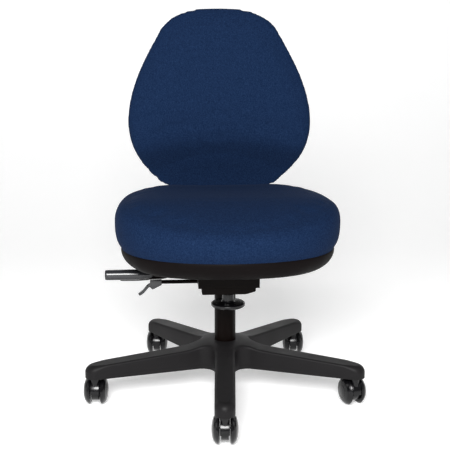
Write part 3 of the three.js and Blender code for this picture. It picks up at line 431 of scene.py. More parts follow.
def inset_loop(loop, distance):
    """Moves a flat counter-clockwise loop inward by a small distance."""
    loop = np.array(loop)
    ahead = np.roll(loop, -1, 0) - loop
    ahead /= np.maximum(np.linalg.norm(ahead, axis=1, keepdims=True), 1e-9)
    back = np.roll(ahead, 1, 0)
    normal = np.stack([-(ahead + back)[:, 1], (ahead + back)[:, 0]], 1)
    normal /= np.maximum(np.linalg.norm(normal, axis=1, keepdims=True), 1e-9)
    lean = np.maximum(np.abs(np.sum(normal * np.stack([-ahead[:, 1], ahead[:, 0]], 1), axis=1)), 0.5)
    return loop + normal * (distance / lean)[:, None]


def counter_clockwise(loop):
    loop = np.array(loop, float)
    nxt = np.roll(loop, -1, 0)
    area = np.sum(loop[:, 0] * nxt[:, 1] - nxt[:, 0] * loop[:, 1])
    return loop if area > 0 else loop[::-1]


PLANES = {"X": (1, 2, 0), "Y": (0, 2, 1), "Z": (0, 1, 2)}


def prism(outline, start, end, axis, edge=0.0, steps=4):
    """Extrudes an outline along an axis, with rounded rims. The outline's two numbers are the other axes
    in X, Y, Z order."""
    loop = counter_clockwise(outline)
    levels = []
    for k in range(steps + 1):
        angle = math.pi / 2 * k / steps
        levels.append((edge * (1 - math.sin(angle)), edge * (1 - math.cos(angle))))
    stack = [(start + rise, inward) for inward, rise in levels]
    stack += [(end - rise, inward) for inward, rise in reversed(levels)]
    if edge == 0:
        stack = [(start, 0), (end, 0)]
    first, second, third = PLANES[axis]
    rings = []
    for place, inward in stack:
        flat = inset_loop(loop, inward) if inward else loop
        ring = np.zeros((len(flat), 3))
        ring[:, first] = flat[:, 0]
        ring[:, second] = flat[:, 1]
        ring[:, third] = place
        rings.append(ring)
    around = len(loop)
    points = [p for ring in rings for p in ring]
    faces = ring_faces(len(rings), around)
    faces.append(tuple(range(around)))
    faces.append(tuple((len(rings) - 1) * around + j for j in range(around)))
    return points, faces


def sweep(path, section, up=Vector((0, 0, 1))):
    """Carries a flat section, or one section for each step, along a path without twist."""
    path = [Vector(p) for p in path]
    rings = []
    side = None
    for i, spot in enumerate(path):
        ahead = (path[min(i + 1, len(path) - 1)] - path[max(i - 1, 0)]).normalized()
        if side is None:
            side = ahead.cross(up).normalized()
        side = (side - ahead * side.dot(ahead)).normalized()
        top = side.cross(ahead)
        flat = section[i] if isinstance(section, list) else section
        rings.append([tuple(spot + side * float(a) + top * float(b)) for a, b in flat])
    return loft(rings)


def circle(radius, count=20):
    angles = np.arange(count) * 2 * math.pi / count
    return np.stack([radius * np.cos(angles), radius * np.sin(angles)], 1)


def smooth_path(points, count):
    """A Catmull-Rom curve through points, as evenly spaced stations."""
    points = [np.array(p, float) for p in points]
    points = [2 * points[0] - points[1]] + points + [2 * points[-1] - points[-2]]
    dense = []
    for a, b, c, d in zip(points, points[1:], points[2:], points[3:]):
        for t in np.linspace(0, 1, 24, endpoint=False):
            dense.append(0.5 * (2 * b + (c - a) * t + (2 * a - 5 * b + 4 * c - d) * t ** 2
                                + (3 * b - a - 3 * c + d) * t ** 3))
    dense.append(points[-2])
    return even(np.array(dense), count)


def even(line, count, closed=False):
    """The same line with evenly spaced points."""
    if closed:
        line = np.vstack([line, line[:1]])
    run = np.concatenate([[0], np.cumsum(np.linalg.norm(np.diff(line, axis=0), axis=1))])
    stations = np.linspace(0, run[-1], count + 1)[:-1] if closed else np.linspace(0, run[-1], count)
    return np.stack([np.interp(stations, run, line[:, k]) for k in range(line.shape[1])], 1)


def bezier(start, first, second, end, steps=24):
    t = np.linspace(0, 1, steps, endpoint=False)[:, None]
    start, first, second, end = (np.array(p, float) for p in (start, first, second, end))
    return (1 - t) ** 3 * start + 3 * (1 - t) ** 2 * t * first + 3 * (1 - t) * t ** 2 * second + t ** 3 * end


def moved(points, matrix):
    return [tuple(matrix @ Vector(p)) for p in points]


def merge(*parts):
    """Several sets of points and faces as one."""
    points, faces = [], []
    for some_points, some_faces in parts:
        faces += [tuple(k + len(points) for k in face) for face in some_faces]
        points += [tuple(p) for p in some_points]
    return points, faces


def ease(value, start, end):
    t = np.clip((value - start) / (end - start), 0, 1)
    return t * t * (3 - 2 * t)


# ------------------------------------------------------------------ soft parts
def apply_modifiers(thing):
    """Replaces a piece's mesh with what its modifiers make of it."""
    graph = bpy.context.evaluated_depsgraph_get()
    mesh = bpy.data.meshes.new_from_object(thing.evaluated_get(graph))
    old = thing.data
    thing.modifiers.clear()
    thing.data = mesh
    bpy.data.meshes.remove(old)


def coordinates(mesh):
    flat = np.empty(len(mesh.vertices) * 3)
    mesh.vertices.foreach_get("co", flat)
    return flat.reshape(-1, 3)


def puff(thing, held, cap, voxel, pressure=4.0, frames=20):
    """Blows the cover up over its foam as cloth. held(x, y, z) says which points are stapled down."""
    remesh = thing.modifiers.new("Even cloth", "REMESH")
    remesh.mode = "VOXEL"
    remesh.voxel_size = voxel
    apply_modifiers(thing)
    start = coordinates(thing.data)
    stapled = thing.vertex_groups.new(name="stapled")
    x, y, z = start.T
    stapled.add([int(i) for i in np.nonzero(held(x, y, z))[0]], 1.0, "REPLACE")
    cloth = thing.modifiers.new("Cover", "CLOTH")
    cloth.settings.vertex_group_mass = "stapled"
    cloth.settings.use_pressure = True
    cloth.settings.uniform_pressure_force = pressure
    cloth.settings.effector_weights.gravity = 0
    cloth.settings.quality = 4
    scene = bpy.context.scene
    for number in range(1, frames + 1):
        scene.frame_set(number)
    graph = bpy.context.evaluated_depsgraph_get()
    shape = thing.evaluated_get(graph)
    swollen = coordinates(shape.data)
    thing.modifiers.clear()
    scene.frame_set(1)
    move = swollen - start
    normals = np.empty(len(start) * 3)
    thing.data.vertices.foreach_get("normal", normals)
    normals = normals.reshape(-1, 3)
    outward = np.sum(move * normals, axis=1, keepdims=True)
    move = move + normals * (np.maximum(outward, 0) - outward)
    length = np.maximum(np.linalg.norm(move, axis=1, keepdims=True), 1e-9)
    move *= cap * np.tanh(length / cap) / length
    thing.data.vertices.foreach_set("co", (start + move).ravel())
    relax = thing.modifiers.new("Relax", "SMOOTH")
    relax.factor = 0.5
    relax.iterations = 3
    fine = thing.modifiers.new("Fine", "SUBSURF")
    fine.levels = 1
    apply_modifiers(thing)
    thing.vertex_groups.clear()
    thing.data.shade_smooth()


# ------------------------------------------------------------------ seat
SEAT = {"half": (high("seat_cushion")[0] - low("seat_cushion")[0]) / 2, "front": low("seat_cushion")[1],
        "rear": high("seat_cushion")[1], "top": high("seat_cushion")[2], "rim": high("seat_pan")[2],
        "middle": centre("seat_cushion")[0]}
SEAT["widest"] = SEAT["front"] + 211 * MM


def shrunk(loop, share):
    """A loop drawn in towards its own middle."""
    middle = loop.mean(axis=0)
    return middle + (loop - middle) * share


def seat_loop(inset, count=160):
    """The seat's plan outline, moved inward."""
    if inset > 0.09:
        return shrunk(seat_loop(0.09, count), max(0.02, 1 - (inset - 0.09) / 0.15))
    half = SEAT["half"] - inset
    front = SEAT["front"] + inset
    rear = SEAT["rear"] - inset
    wide = SEAT["widest"]
    right = np.vstack([
        bezier((0, front), (half * 0.62, front), (half, wide - 0.12), (half, wide)),
        bezier((half, wide), (half, rear - 0.095), (half * 0.87, rear), (half * 0.5, rear)),
        bezier((half * 0.5, rear), (half * 0.3, rear), (half * 0.15, rear), (0, rear)),
    ])
    left = right[::-1] * (-1, 1)
    loop = even(np.vstack([right, [[0, rear]], left[:-1]]), count, closed=True)
    loop[:, 0] += SEAT["middle"]
    return loop


def seat_cushion():
    rim, top = SEAT["rim"], SEAT["top"]
    foot = high("seat_board")[2] + 0.5 * MM
    lines = [  # how far inside the outline, and how high
        (0.15, foot), (0.10, foot), (0.063, foot), (0.036, foot + 0.008), (0.021, rim - 0.014),
        (0.0172, rim - 0.003), (0.0155, rim + 0.003), (0.009, rim + 0.009), (0.0045, rim + 0.021),
        (0.0022, rim + 0.036), (0.0016, rim + 0.052), (0.002, rim + 0.068), (0.0055, rim + 0.082),
        (0.0125, top - 0.0105), (0.023, top - 0.0055), (0.04, top - 0.0028), (0.065, top - 0.0015),
        (0.09, top - 0.001), (0.12, top - 0.001), (0.16, top - 0.001), (0.2, top - 0.001),
        (0.23, top - 0.001)]
    rings = []
    for inset, z in lines:
        loop = seat_loop(inset)
        forward = ease(-(loop[:, 1] - SEAT["front"] - 0.236), 0, 0.236)
        high_up = ease(np.full(len(loop), z), rim + 0.02, rim + 0.095)
        drop = 0.034 * forward ** 1.8 * high_up
        dish = 0.004 * np.exp(-((loop[:, 0] - SEAT["middle"]) / 0.12) ** 2
                              - ((loop[:, 1] - SEAT["front"] - 0.33) / 0.1) ** 2) * high_up
        rings.append(np.column_stack([loop, z - drop - dish]))
    cushion = make_object("seat_cushion_cover", *loft(rings))
    puff(cushion, lambda x, y, z: z < rim + 0.002, sizes().foam_swell, 0.0055)
    settle(cushion, "seat", "fabric", "woven_polyester", "seat_cushion")


# Raised pads under the pan: how far out and behind the column, their size and their corners.
PAD = {"side": 0.118, "rear": 0.020, "width": 0.056, "length": 0.08, "height": 0.003, "corner": 0.003}


def seat_pan():
    """A moulded bowl: rolled lip, flared side and flat floor, with a wall of even thickness."""
    rim, floor = SEAT["rim"], low("seat_pan")[2] + PAD["height"]
    inset = SEAT["half"] - (high("seat_pan")[0] - low("seat_pan")[0]) / 2
    deep = rim - floor
    flare, wall = 0.048, 0.0035
    lines = []
    for t in np.linspace(0, 1, 14):
        angle = math.pi / 2 * t
        lines.append((inset + flare * (1 - math.cos(angle)), rim - 0.004 - (deep - 0.004) * math.sin(angle)))
    outer = [(inset + 0.0012, rim - 0.0003), (inset + 0.0002, rim - 0.0018)] + lines
    outer += [(0.09, floor), (0.14, floor), (0.2, floor)]
    inner = [(0.2, floor + wall), (0.14, floor + wall), (0.09, floor + wall)]
    for t in np.linspace(1, 0, 12):
        angle = math.pi / 2 * t
        lift = (deep - wall - 0.004) * math.sin(angle)
        inner.append((inset + wall + (flare - 0.001) * (1 - math.cos(angle)), rim - 0.004 - lift))
    inner.append((inset + wall - 0.0008, rim - 0.0003))
    rings = [np.column_stack([seat_loop(i), np.full(160, z)]) for i, z in outer]
    points, faces = loft(rings, cap_first=False)
    rings = [np.column_stack([seat_loop(i), np.full(160, z)]) for i, z in inner]
    shell = merge((points, faces), loft(rings, cap_last=False))
    seam = [(j, (j + 1) % 160, len(points) + (len(inner) - 1) * 160 + (j + 1) % 160,
             len(points) + (len(inner) - 1) * 160 + j) for j in range(160)]
    pads = []
    for side in (-1, 1):
        x, y = SEAT["middle"] + side * PAD["side"], COLUMN.y + PAD["rear"]
        half_w, half_l = PAD["width"] / 2, PAD["length"] / 2
        plan = fillet(rectangle((x - half_w, y - half_l), (x + half_w, y + half_l)), PAD["corner"])
        pads.append(prism(plan, floor - PAD["height"], floor + 0.001, "Z", 0.0005))
    whole = merge((shell[0], shell[1] + seam), *pads)
    pan = make_object("seat_pan_shell", *whole, smooth_angle=50)
    settle(pan, "seat", "shell_plastic", "moulded_polypropylene", "seat_pan")


# ------------------------------------------------------------------ back
BACK = {"half": (high("back_cushion")[0] - low("back_cushion")[0]) / 2, "top": high("back_cushion")[2],
        "foot": low("back_cushion")[2], "front": low("back_cushion")[1], "middle": centre("back_cushion")[0],
        "rear": high("back_shell")[1]}
BACK["wide"] = BACK["foot"] + 0.192
BACK["lumbar"] = BACK["foot"] + 0.172


def back_loop(inset, count=180):
    """The back's outline as the sitter sees it, moved inward: (x, z) points."""
    if inset > 0.08:
        return shrunk(back_loop(0.08, count), max(0.02, 1 - (inset - 0.08) / 0.15))
    half = BACK["half"] - inset
    top, foot, wide = BACK["top"] - inset, BACK["foot"] + inset, BACK["wide"]
    side = np.vstack([
        bezier((0, top), (half * 0.36, top), (half * 0.54, top - 0.020), (half * 0.64, top - 0.053)),
        bezier((half * 0.64, top - 0.053), (half * 0.75, top - 0.102), (half, wide + 0.093), (half, wide)),
        bezier((half, wide), (half, wide - 0.057), (half * 0.86, foot + 0.073), (half * 0.65, foot + 0.036)),
        bezier((half * 0.65, foot + 0.036), (half * 0.52, foot + 0.012), (half * 0.3, foot), (0, foot)),
    ])
    left = side[::-1] * (-1, 1)
    loop = even(np.vstack([side, [[0, foot]], left[:-1]]), count, closed=True)
    loop[:, 0] += BACK["middle"]
    return loop


def along_height(z, knots):
    """A smooth curve through (height above the foot, depth behind the lumbar) knots."""
    curve = smooth_path(knots, 80)
    return np.interp(z - BACK["foot"], curve[:, 0], curve[:, 1]) + BACK["front"]


def cushion_face(x, z):
    """Depth of the cushion's front: lumbar swell, arched a little lower towards the sides."""
    across = (x - BACK["middle"]) / BACK["half"]
    raised = z + 0.034 * across ** 2 * ease(z - BACK["foot"], 0.02, 0.14)
    knots = [(-0.01, 0.066), (0.04, 0.056), (0.075, 0.046), (0.11, 0.027), (0.14, 0.009), (0.158, 0.0025),
             (0.178, 0.001), (0.22, 0.005), (0.30, 0.019), (0.39, 0.041), (0.48, 0.066), (0.52, 0.078)]
    return along_height(raised, knots)


def board_face(z):
    """Depth of the board's front, which the cushion is upholstered on."""
    knots = [(-0.01, 0.0822), (0.082, 0.062), (0.115, 0.056), (0.21, 0.056), (0.29, 0.064), (0.44, 0.082),
             (0.48, 0.088), (0.52, 0.092)]
    z = np.asarray(z, float)
    return np.interp(z - BACK["foot"], [k[0] for k in knots], [k[1] for k in knots]) + BACK["front"]


def back_cushion():
    lines = [  # inside the outline, share of the way from the board to the front
        (0.12, 0.0), (0.06, 0.0), (0.030, 0.0), (0.012, 0.02), (0.006, 0.12), (0.0012, 0.28), (0.0, 0.45),
        (0.0012, 0.60), (0.0065, 0.74), (0.012, 0.84), (0.020, 0.905), (0.032, 0.95), (0.05, 0.98),
        (0.075, 0.995), (0.105, 1.0), (0.14, 1.0), (0.175, 1.0), (0.205, 1.0), (0.222, 1.0)]
    rings = []
    for inset, share in lines:
        loop = back_loop(inset)
        x, z = loop.T
        rear = board_face(z) - 0.8 * MM
        front = cushion_face(x, z) + 2.5 * MM
        rings.append(np.column_stack([x, rear + (front - rear) * share, z]))
    cushion = make_object("back_cushion_cover", *loft(rings))
    middle = BACK["middle"]
    puff(cushion, lambda x, y, z: (y > board_face(z) - 10 * MM) & (np.abs(x - middle) < 1),
         sizes().foam_swell, 0.0055)
    settle(cushion, "backrest", "fabric", "woven_polyester", "back_cushion")


def shell_face(x, z, shift=0.0):
    """Depth of the back shell's outer face, with a raised channel over the bar."""
    knots = [(-0.01, 0.106), (0.07, 0.112), (0.26, 0.112), (0.40, 0.107), (0.48, 0.095), (0.52, 0.088)]
    base = along_height(z, knots)
    over_bar = 1 - ease(np.abs(x - BACK["middle"]), 0.042, 0.06)
    channel = over_bar * (1 - ease(z - BACK["foot"], 0.29, 0.33))
    return base + 0.0055 * channel - shift


def back_shell():
    edge = BACK["half"] - (high("back_shell")[0] - low("back_shell")[0]) / 2
    steps = [(0.0, 0.0), (0.0004, 0.3), (0.0025, 0.55), (0.008, 0.77), (0.018, 0.91), (0.032, 0.975),
             (0.05, 1.0), (0.08, 1.0), (0.11, 1.0), (0.15, 1.0), (0.19, 1.0), (0.212, 1.0)]

    def rings(wall):
        result = []
        for inset, share in steps:
            loop = back_loop(edge + wall + inset)
            x, z = loop.T
            rim = board_face(z) + 0.3 * MM
            result.append(np.column_stack([x, rim + (shell_face(x, z, wall) - rim) * share, z]))
        return result
    points, faces = loft(rings(0.0), cap_first=False)
    inner_points, inner_faces = loft(rings(0.003), cap_first=False)
    whole = merge((points, faces), (inner_points, inner_faces))
    start = len(points)
    rim = [(j, (j + 1) % 180, start + (j + 1) % 180, start + j) for j in range(180)]
    shell = make_object("back_shell_cover", whole[0], whole[1] + rim, smooth_angle=50)
    bar_low, bar_high = low("back_bar"), high("back_bar")
    play = 0.005
    opening = rectangle((bar_low[0] - play, bar_high[1] - 0.016), (bar_high[0] + play, bar_high[1] + 0.0008))
    carve(shell, prism(fillet(opening, 0.003), BACK["foot"] - 0.01, BACK["foot"] + 0.03, "Z"))
    settle(shell, "backrest", "shell_plastic", "moulded_polypropylene", "back_shell")


def carve(thing, shape, operation="DIFFERENCE"):
    """Cuts a shape out of a piece, or joins it on."""
    cutter = make_object("cutter", *shape)
    cut = thing.modifiers.new("Cut", "BOOLEAN")
    cut.operation = operation
    cut.solver = "EXACT"
    cut.object = cutter
    apply_modifiers(thing)
    bpy.data.objects.remove(cutter, do_unlink=True)
    thing.data.shade_smooth()
    thing.data.set_sharp_from_angle(angle=math.radians(50))


def back_bar():
    """Flat spring-steel bar: from the recline pin back under the seat and up into the back."""
    pivot = Vector(joint("back_recline")["pos_m"])
    box_low, box_high = low("back_bar"), high("back_bar")
    half_t = 0.004
    bend = 0.045 + half_t
    upright_y = box_high[1] - half_t
    path = [(0, pivot.y + 0.008, pivot.z), (0, upright_y - bend - 0.02, pivot.z)]
    for t in np.linspace(0, 1, 14):
        angle = -math.pi / 2 + math.pi / 2 * t
        path.append((0, upright_y - bend + bend * math.cos(angle), pivot.z + bend + bend * math.sin(angle)))
    path += [(0, upright_y, pivot.z + bend + 0.05), (0, upright_y, box_high[2])]
    half_w = (box_high[0] - box_low[0]) / 2
    section = fillet([(-half_w, -half_t), (half_w, -half_t), (half_w, half_t), (-half_w, half_t)], 0.0025)
    points, faces = sweep([Vector(p) + Vector((pivot.x, 0, 0)) for p in path], section,
                          up=Vector((0, 0, 1)))
    boss = prism(circle(0.013, 40), -half_w, half_w, "X", 0.001)
    boss = (moved(boss[0], Matrix.Translation(pivot)), boss[1])
    bar = make_object("back_bar_strip", *merge((points, faces), boss), smooth_angle=35)
    settle(bar, "back_arm", "black_steel", "powder_coat", "back_bar")


# ------------------------------------------------------------------ base
ARM = {"circle": 0.314, "root": 0.0235, "tip": 0.02175, "fillet": 0.030, "bore": 0.0256,
       "under": low("base_star")[2], "top": high("base_star")[2]}


def arm_edge():
    """Half of one arm's plan outline in the arm's own axes: from the valley between arms to the tip."""
    valley = (ARM["fillet"] + ARM["root"]) / math.sin(ARM_STEP / 2)
    hub = np.array([valley * math.cos(ARM_STEP / 2), valley * math.sin(ARM_STEP / 2)])
    turn = np.linspace(math.pi + ARM_STEP / 2, 1.5 * math.pi, 14)
    fillet_line = hub + ARM["fillet"] * np.stack([np.cos(turn), np.sin(turn)], 1)
    straight_x = np.linspace(hub[0], ARM["circle"], 44)[1:]
    width = np.interp(straight_x, [hub[0], ARM["circle"]], [ARM["root"], ARM["tip"]])
    turn = np.linspace(math.pi / 2, 0, 18)[1:]
    tip = np.stack([ARM["circle"] + ARM["tip"] * np.cos(turn), ARM["tip"] * np.sin(turn)], 1)
    return np.vstack([fillet_line, np.stack([straight_x, width], 1), tip])


def arm_top(radius):
    """Height of the arms over the floor, along a line out from the column."""
    under, hub = ARM["under"], ARM["top"]
    knots = [(0.0, hub - 0.001), (0.030, hub - 0.001), (0.044, hub - 0.002), (0.06, under + 0.057),
             (0.08, under + 0.0513), (0.10, under + 0.0475), (0.15, under + 0.0435), (0.2, under + 0.0397),
             (0.26, under + 0.0352), (0.314, under + 0.031), (0.34, under + 0.029)]
    curve = smooth_path(knots, 120)
    return np.interp(radius, curve[:, 0], curve[:, 1])


def distance_to(line, spots):
    """How far each spot is from a flat line of straight pieces."""
    start, run = line[:-1], np.diff(line, axis=0)
    ahead = spots[:, None] - start[None]
    share = np.sum(ahead * run, axis=2) / np.maximum(np.sum(run * run, axis=1), 1e-12)
    return np.min(np.linalg.norm(ahead - np.clip(share, 0, 1)[..., None] * run, axis=2), axis=1)


def one_arm():
    edge = arm_edge()
    across = np.sin(np.linspace(-math.pi / 2, math.pi / 2, 31))
    rows = []
    for r in np.linspace(ARM["bore"], np.linalg.norm(edge[0]), 12)[:-1]:
        angle = across * ARM_STEP / 2
        rows.append(np.stack([r * np.cos(angle), r * np.sin(angle)], 1))
    bow = np.linalg.norm(edge[0]) - edge[0][0]
    for i, (x, y) in enumerate(edge):
        bulge = bow * max(0, 1 - i / 13) ** 1.5
        rows.append(np.stack([x + bulge * (1 - across ** 2), y * across], 1))
    grid = np.array(rows)
    flat = grid.reshape(-1, 2)
    neighbours = []
    for angle in (-ARM_STEP, 0, ARM_STEP):
        c, s = math.cos(angle), math.sin(angle)
        neighbours += [edge @ np.array([[c, s], [-s, c]]), (edge * (1, -1)) @ np.array([[c, s], [-s, c]])]
    gap = np.min([distance_to(line, flat) for line in neighbours], axis=0)
    radius = np.linalg.norm(flat, axis=1)
    rounding = sizes().arm_edge + 0.011 * ease(flat[:, 0], 0.285, 0.33)
    near = np.minimum(gap, rounding)
    top = arm_top(radius) - (rounding - np.sqrt(rounding ** 2 - (rounding - near) ** 2))
    lip = 0.0012
    near = np.minimum(gap, lip)
    bottom = ARM["under"] + (lip - np.sqrt(lip ** 2 - (lip - near) ** 2))
    inside = ease(gap, 0.004, 0.0052) * ease(radius, 0.052, 0.054) * (1 - ease(flat[:, 0], 0.292, 0.294))
    bottom += 0.013 * inside
    count = len(flat)
    points = [(*p, z) for p, z in zip(flat, top)] + [(*p, z) for p, z in zip(flat, bottom)]
    wide = len(across)
    upper = ring_faces(len(rows), wide, closed=False)
    lower = [tuple(k + count for k in reversed(face)) for face in upper]
    walls = []
    for i in range(len(rows) - 1):
        for j in (0, wide - 1):
            if i >= 11:
                here, there = i * wide + j, (i + 1) * wide + j
                walls.append((here, there, count + there, count + here))
    bore = [(j, j + 1, count + j + 1, count + j) for j in range(wide - 1)]
    return points, upper + lower + walls + bore


def base_star():
    arm = one_arm()
    parts = []
    for i in range(5):
        turn = Matrix.Translation(COLUMN) @ Matrix.Rotation(FRONT_ARM + i * ARM_STEP, 4, "Z")
        parts.append((moved(arm[0], turn), arm[1]))
    star = make_object("star_base", *merge(*parts), smooth_angle=48)
    settle(star, "base", "nylon", "moulded_nylon", "base_star")


# The wheels' faces and the body's plan, across and round the axle.
CASTOR = {"inner": 0.011, "outer": 0.029, "disc": 0.024, "web": 0.008, "hood": 0.0285, "hood_half": 0.0103,
          "neck": 0.0102, "neck_top": 0.0085}


def castor_wheel(number, side):
    inner, outer = CASTOR["inner"], CASTOR["outer"]
    radius = centre(f"castor_axle_{number}")[2]
    profile = [(0, outer - 0.0008), (0.006, outer - 0.001), (0.0145, outer - 0.0022),
               (0.0152, outer - 0.0030),
               (0.016, outer - 0.0024), (radius - 0.008, outer - 0.0052), (radius - 0.003, outer - 0.0095),
               (radius - 0.0008, outer - 0.0128), (radius, outer - 0.0150), (radius, inner + 0.003),
               (radius - 0.003, inner), (0.0036, inner), (0.0036, outer - 0.0045), (0, outer - 0.0045)]
    _, heading = castor_spot(number)
    axle = Vector(centre(f"castor_axle_{number}"))
    place = (Matrix.Translation(axle) @ Matrix.Rotation(heading, 4, "Z")
             @ Matrix.Rotation(side * math.pi / 2, 4, "Y"))
    name = "left" if side > 0 else "right"
    fitted(f"wheel_{name}_{number}", revolve(profile, 0.0016, around=56, steps=4), place,
           f"wheel_{name}_{number}", "gloss_plastic", "polished_nylon", f"castor_wheel_{name}_{number}")


def castor_body(number):
    spot, heading = castor_spot(number)
    trail = np.linalg.norm((centre(f"castor_axle_{number}") - centre(f"castor_stem_{number}"))[:2])
    axle_z = centre(f"castor_axle_{number}")[2]
    disc = circle(CASTOR["disc"], 56) + (trail, axle_z)
    web = prism(disc, -CASTOR["web"], CASTOR["web"], "X", 0.0015)
    arc = np.linspace(math.radians(-8), math.radians(188), 40)
    cap = np.stack([trail + CASTOR["hood"] * np.cos(arc), axle_z + CASTOR["hood"] * np.sin(arc)], 1)
    hood = prism(cap, -CASTOR["hood_half"], CASTOR["hood_half"], "X", 0.0012)
    neck_top = high(f"castor_body_{number}")[2]
    thick, thin = CASTOR["neck"], CASTOR["neck_top"]
    neck = revolve([(0, axle_z), (thick, axle_z), (thick, neck_top - 0.002), (thin, neck_top), (0, neck_top)],
                   0.0012, around=40)
    place = Matrix.Translation(spot) @ Matrix.Rotation(heading, 4, "Z")
    fitted(f"castor_fork_{number}", merge(web, hood, neck), place,
           f"castor_{number}", "gloss_plastic", "polished_nylon", f"castor_body_{number}")


# ------------------------------------------------------------------ gas lift
def gas_lift():
    at_column = Matrix.Translation(COLUMN)
    foot, top = low("column_tube")[2], high("column_tube")[2]
    tube = revolve_closed([
        (0.0056, foot), (0.023, foot), (0.025, foot + 0.002), (0.025, top - 0.0015), (0.0244, top),
        (0.0231, top), (0.0231, foot + 0.003), (0.0056, foot + 0.003)], 0.0006, around=72)
    fitted("column_sleeve", tube, at_column, "base", "black_steel", "powder_coat", "column_tube")
    foot, top = low("gas_cylinder")[2], high("gas_cylinder")[2]
    cylinder = revolve_closed([
        (0.0116, foot), (0.014, foot), (0.014, top - 0.001), (0.013, top), (0.0034, top),
        (0.0034, top - 0.012), (0.0116, top - 0.016)], 0.0005, around=72)
    fitted("lift_cylinder", cylinder, at_column, "mechanism", "bright_steel", "ground_steel", "gas_cylinder")
    foot, top = low("column_bush")[2], high("column_bush")[2]
    bush = revolve_closed([
        (0.01435, foot), (0.0226, foot), (0.0226, top - 0.001), (0.0216, top), (0.0155, top),
        (0.01435, top - 0.001)], 0.0003, around=72)
    fitted("lift_bush", bush, at_column, "base", "acetal", "natural_acetal", "column_bush")


# ------------------------------------------------------------------ mechanism
def housing():
    """Pressed steel tray with one sloping lower corner, a front flange and a boss over the column."""
    a, b = low("mechanism_housing"), high("mechanism_housing")
    wall, slope, rise = SHEET, 0.022, 0.006
    skin = [(a[0], b[2]), (a[0], a[2]), (b[0] - slope, a[2]), (b[0], a[2] + rise), (b[0], b[2]),
            (b[0] - wall, b[2]), (b[0] - wall, a[2] + rise + wall / 2),
            (b[0] - slope - wall / 2, a[2] + wall), (a[0] + wall, a[2] + wall), (a[0] + wall, b[2])]
    bends = [0, 0.004, 0.004, 0.004, 0, 0, 0.002, 0.002, 0.002, 0]
    edge = sizes().sheet_edge / 2
    tray = prism(fillet(skin, bends), a[1], b[1], "Y", edge)
    face = fillet(skin[:5], [0.003, 0.004, 0.004, 0.004, 0.003])
    front = prism(face, a[1] - 0.0002, a[1] + wall, "Y", edge)
    boss_top = high("gas_cylinder")[2] - 0.002
    bore = 0.0145
    boss = revolve_closed([(bore, a[2]), (0.023, a[2] + 0.001), (0.021, boss_top), (bore, boss_top)], 0.001)
    boss = (moved(boss[0], Matrix.Translation(COLUMN)), boss[1])
    tray_piece = make_object("tilt_housing", *merge(tray, front, boss), smooth_angle=35)
    settle(tray_piece, "mechanism", "black_steel", "powder_coat", "mechanism_housing")


def seat_plate():
    """Pressed steel channel bolted under the seat, its sides and front turned down round the housing."""
    a, b = low("seat_plate"), high("seat_plate")
    wall = SHEET
    skin = [(a[0], a[2]), (a[0], b[2]), (b[0], b[2]), (b[0], a[2]), (b[0] - wall, a[2]),
            (b[0] - wall, b[2] - wall), (a[0] + wall, b[2] - wall), (a[0] + wall, a[2])]
    bends = [0, 0.003, 0.003, 0, 0, 0.001, 0.001, 0]
    edge = sizes().sheet_edge / 2
    channel = prism(fillet(skin, bends), a[1], b[1], "Y", edge)
    corners = rectangle((a[0], a[2]), (b[0], b[2]))
    flange = prism(fillet(corners, 0.003), a[1] - 0.0002, a[1] + wall, "Y", edge)
    plate = make_object("seat_channel", *channel)
    carve(plate, flange, "UNION")
    shaft = joint("tilt_lever_twist")["pos_m"]
    lifting = joint("back_lever_lift")["pos_m"]
    opening = rectangle((shaft[1] - 0.009, a[2] - 0.01), (lifting[1] + 0.02, a[2] + 0.020))
    carve(plate, prism(fillet(opening, 0.004), a[0] - 0.002, a[0] + wall + 0.001, "X"))
    settle(plate, "seat", "black_steel", "powder_coat", "seat_plate")


def pins():
    for node in ("tilt_pin", "recline_pin"):
        a, b = low(node), high(node)
        radius, length = (b[2] - a[2]) / 2, b[0] - a[0]
        shaft = revolve([(0, 0), (radius, 0), (radius, length), (0, length)], 0.0008, around=40)
        place = Matrix.Translation(Vector((a[0], *centre(node)[1:]))) @ Matrix.Rotation(math.pi / 2, 4, "Y")
        fitted(f"{node}_shaft", shaft, place, "mechanism", "plain_steel", "zinc_plate", node)


def tension_knob():
    spot = Vector(joint("tension_turn")["pos_m"])
    under, rim = low("tension_knob")[2], low("tension_knob")[2] + 0.010
    radius = (high("tension_knob")[0] - low("tension_knob")[0]) / 2
    neck_top = high("tension_knob")[2]
    around = 96
    angles = np.arange(around) * 2 * math.pi / around
    flute = 1 - 0.09 * np.maximum(0, np.cos(6 * angles)) ** 4
    profile = fillet([
        (0, under), (radius - 0.003, under), (radius, under + 0.0028), (radius, rim - 0.0022),
        (radius - 0.003, rim), (0.0155, rim + 0.001), (0.0132, rim + 0.005), (0.0128, neck_top),
        (0.0054, neck_top),
        (0.0054, rim - 0.0003), (0, rim - 0.0003)], 0.0014, closed=False)
    rings = []
    for r, z in profile:
        on_neck = 0.006 < r < 0.0145
        spread = np.full(around, max(r, 1e-5)) * (flute if on_neck else 1)
        rings.append(np.stack([spread * np.cos(angles), spread * np.sin(angles), np.full(around, z)], 1))
    place = Matrix.Translation((spot.x, spot.y, 0))
    fitted("knob", loft(rings), place, "tension", "gloss_plastic", "polished_nylon", "tension_knob")


# ------------------------------------------------------------------ levers
ROD_R = 4.5 * MM
BARREL_R = 6 * MM
BARREL_HALF = 6 * MM    # half the barrel's width


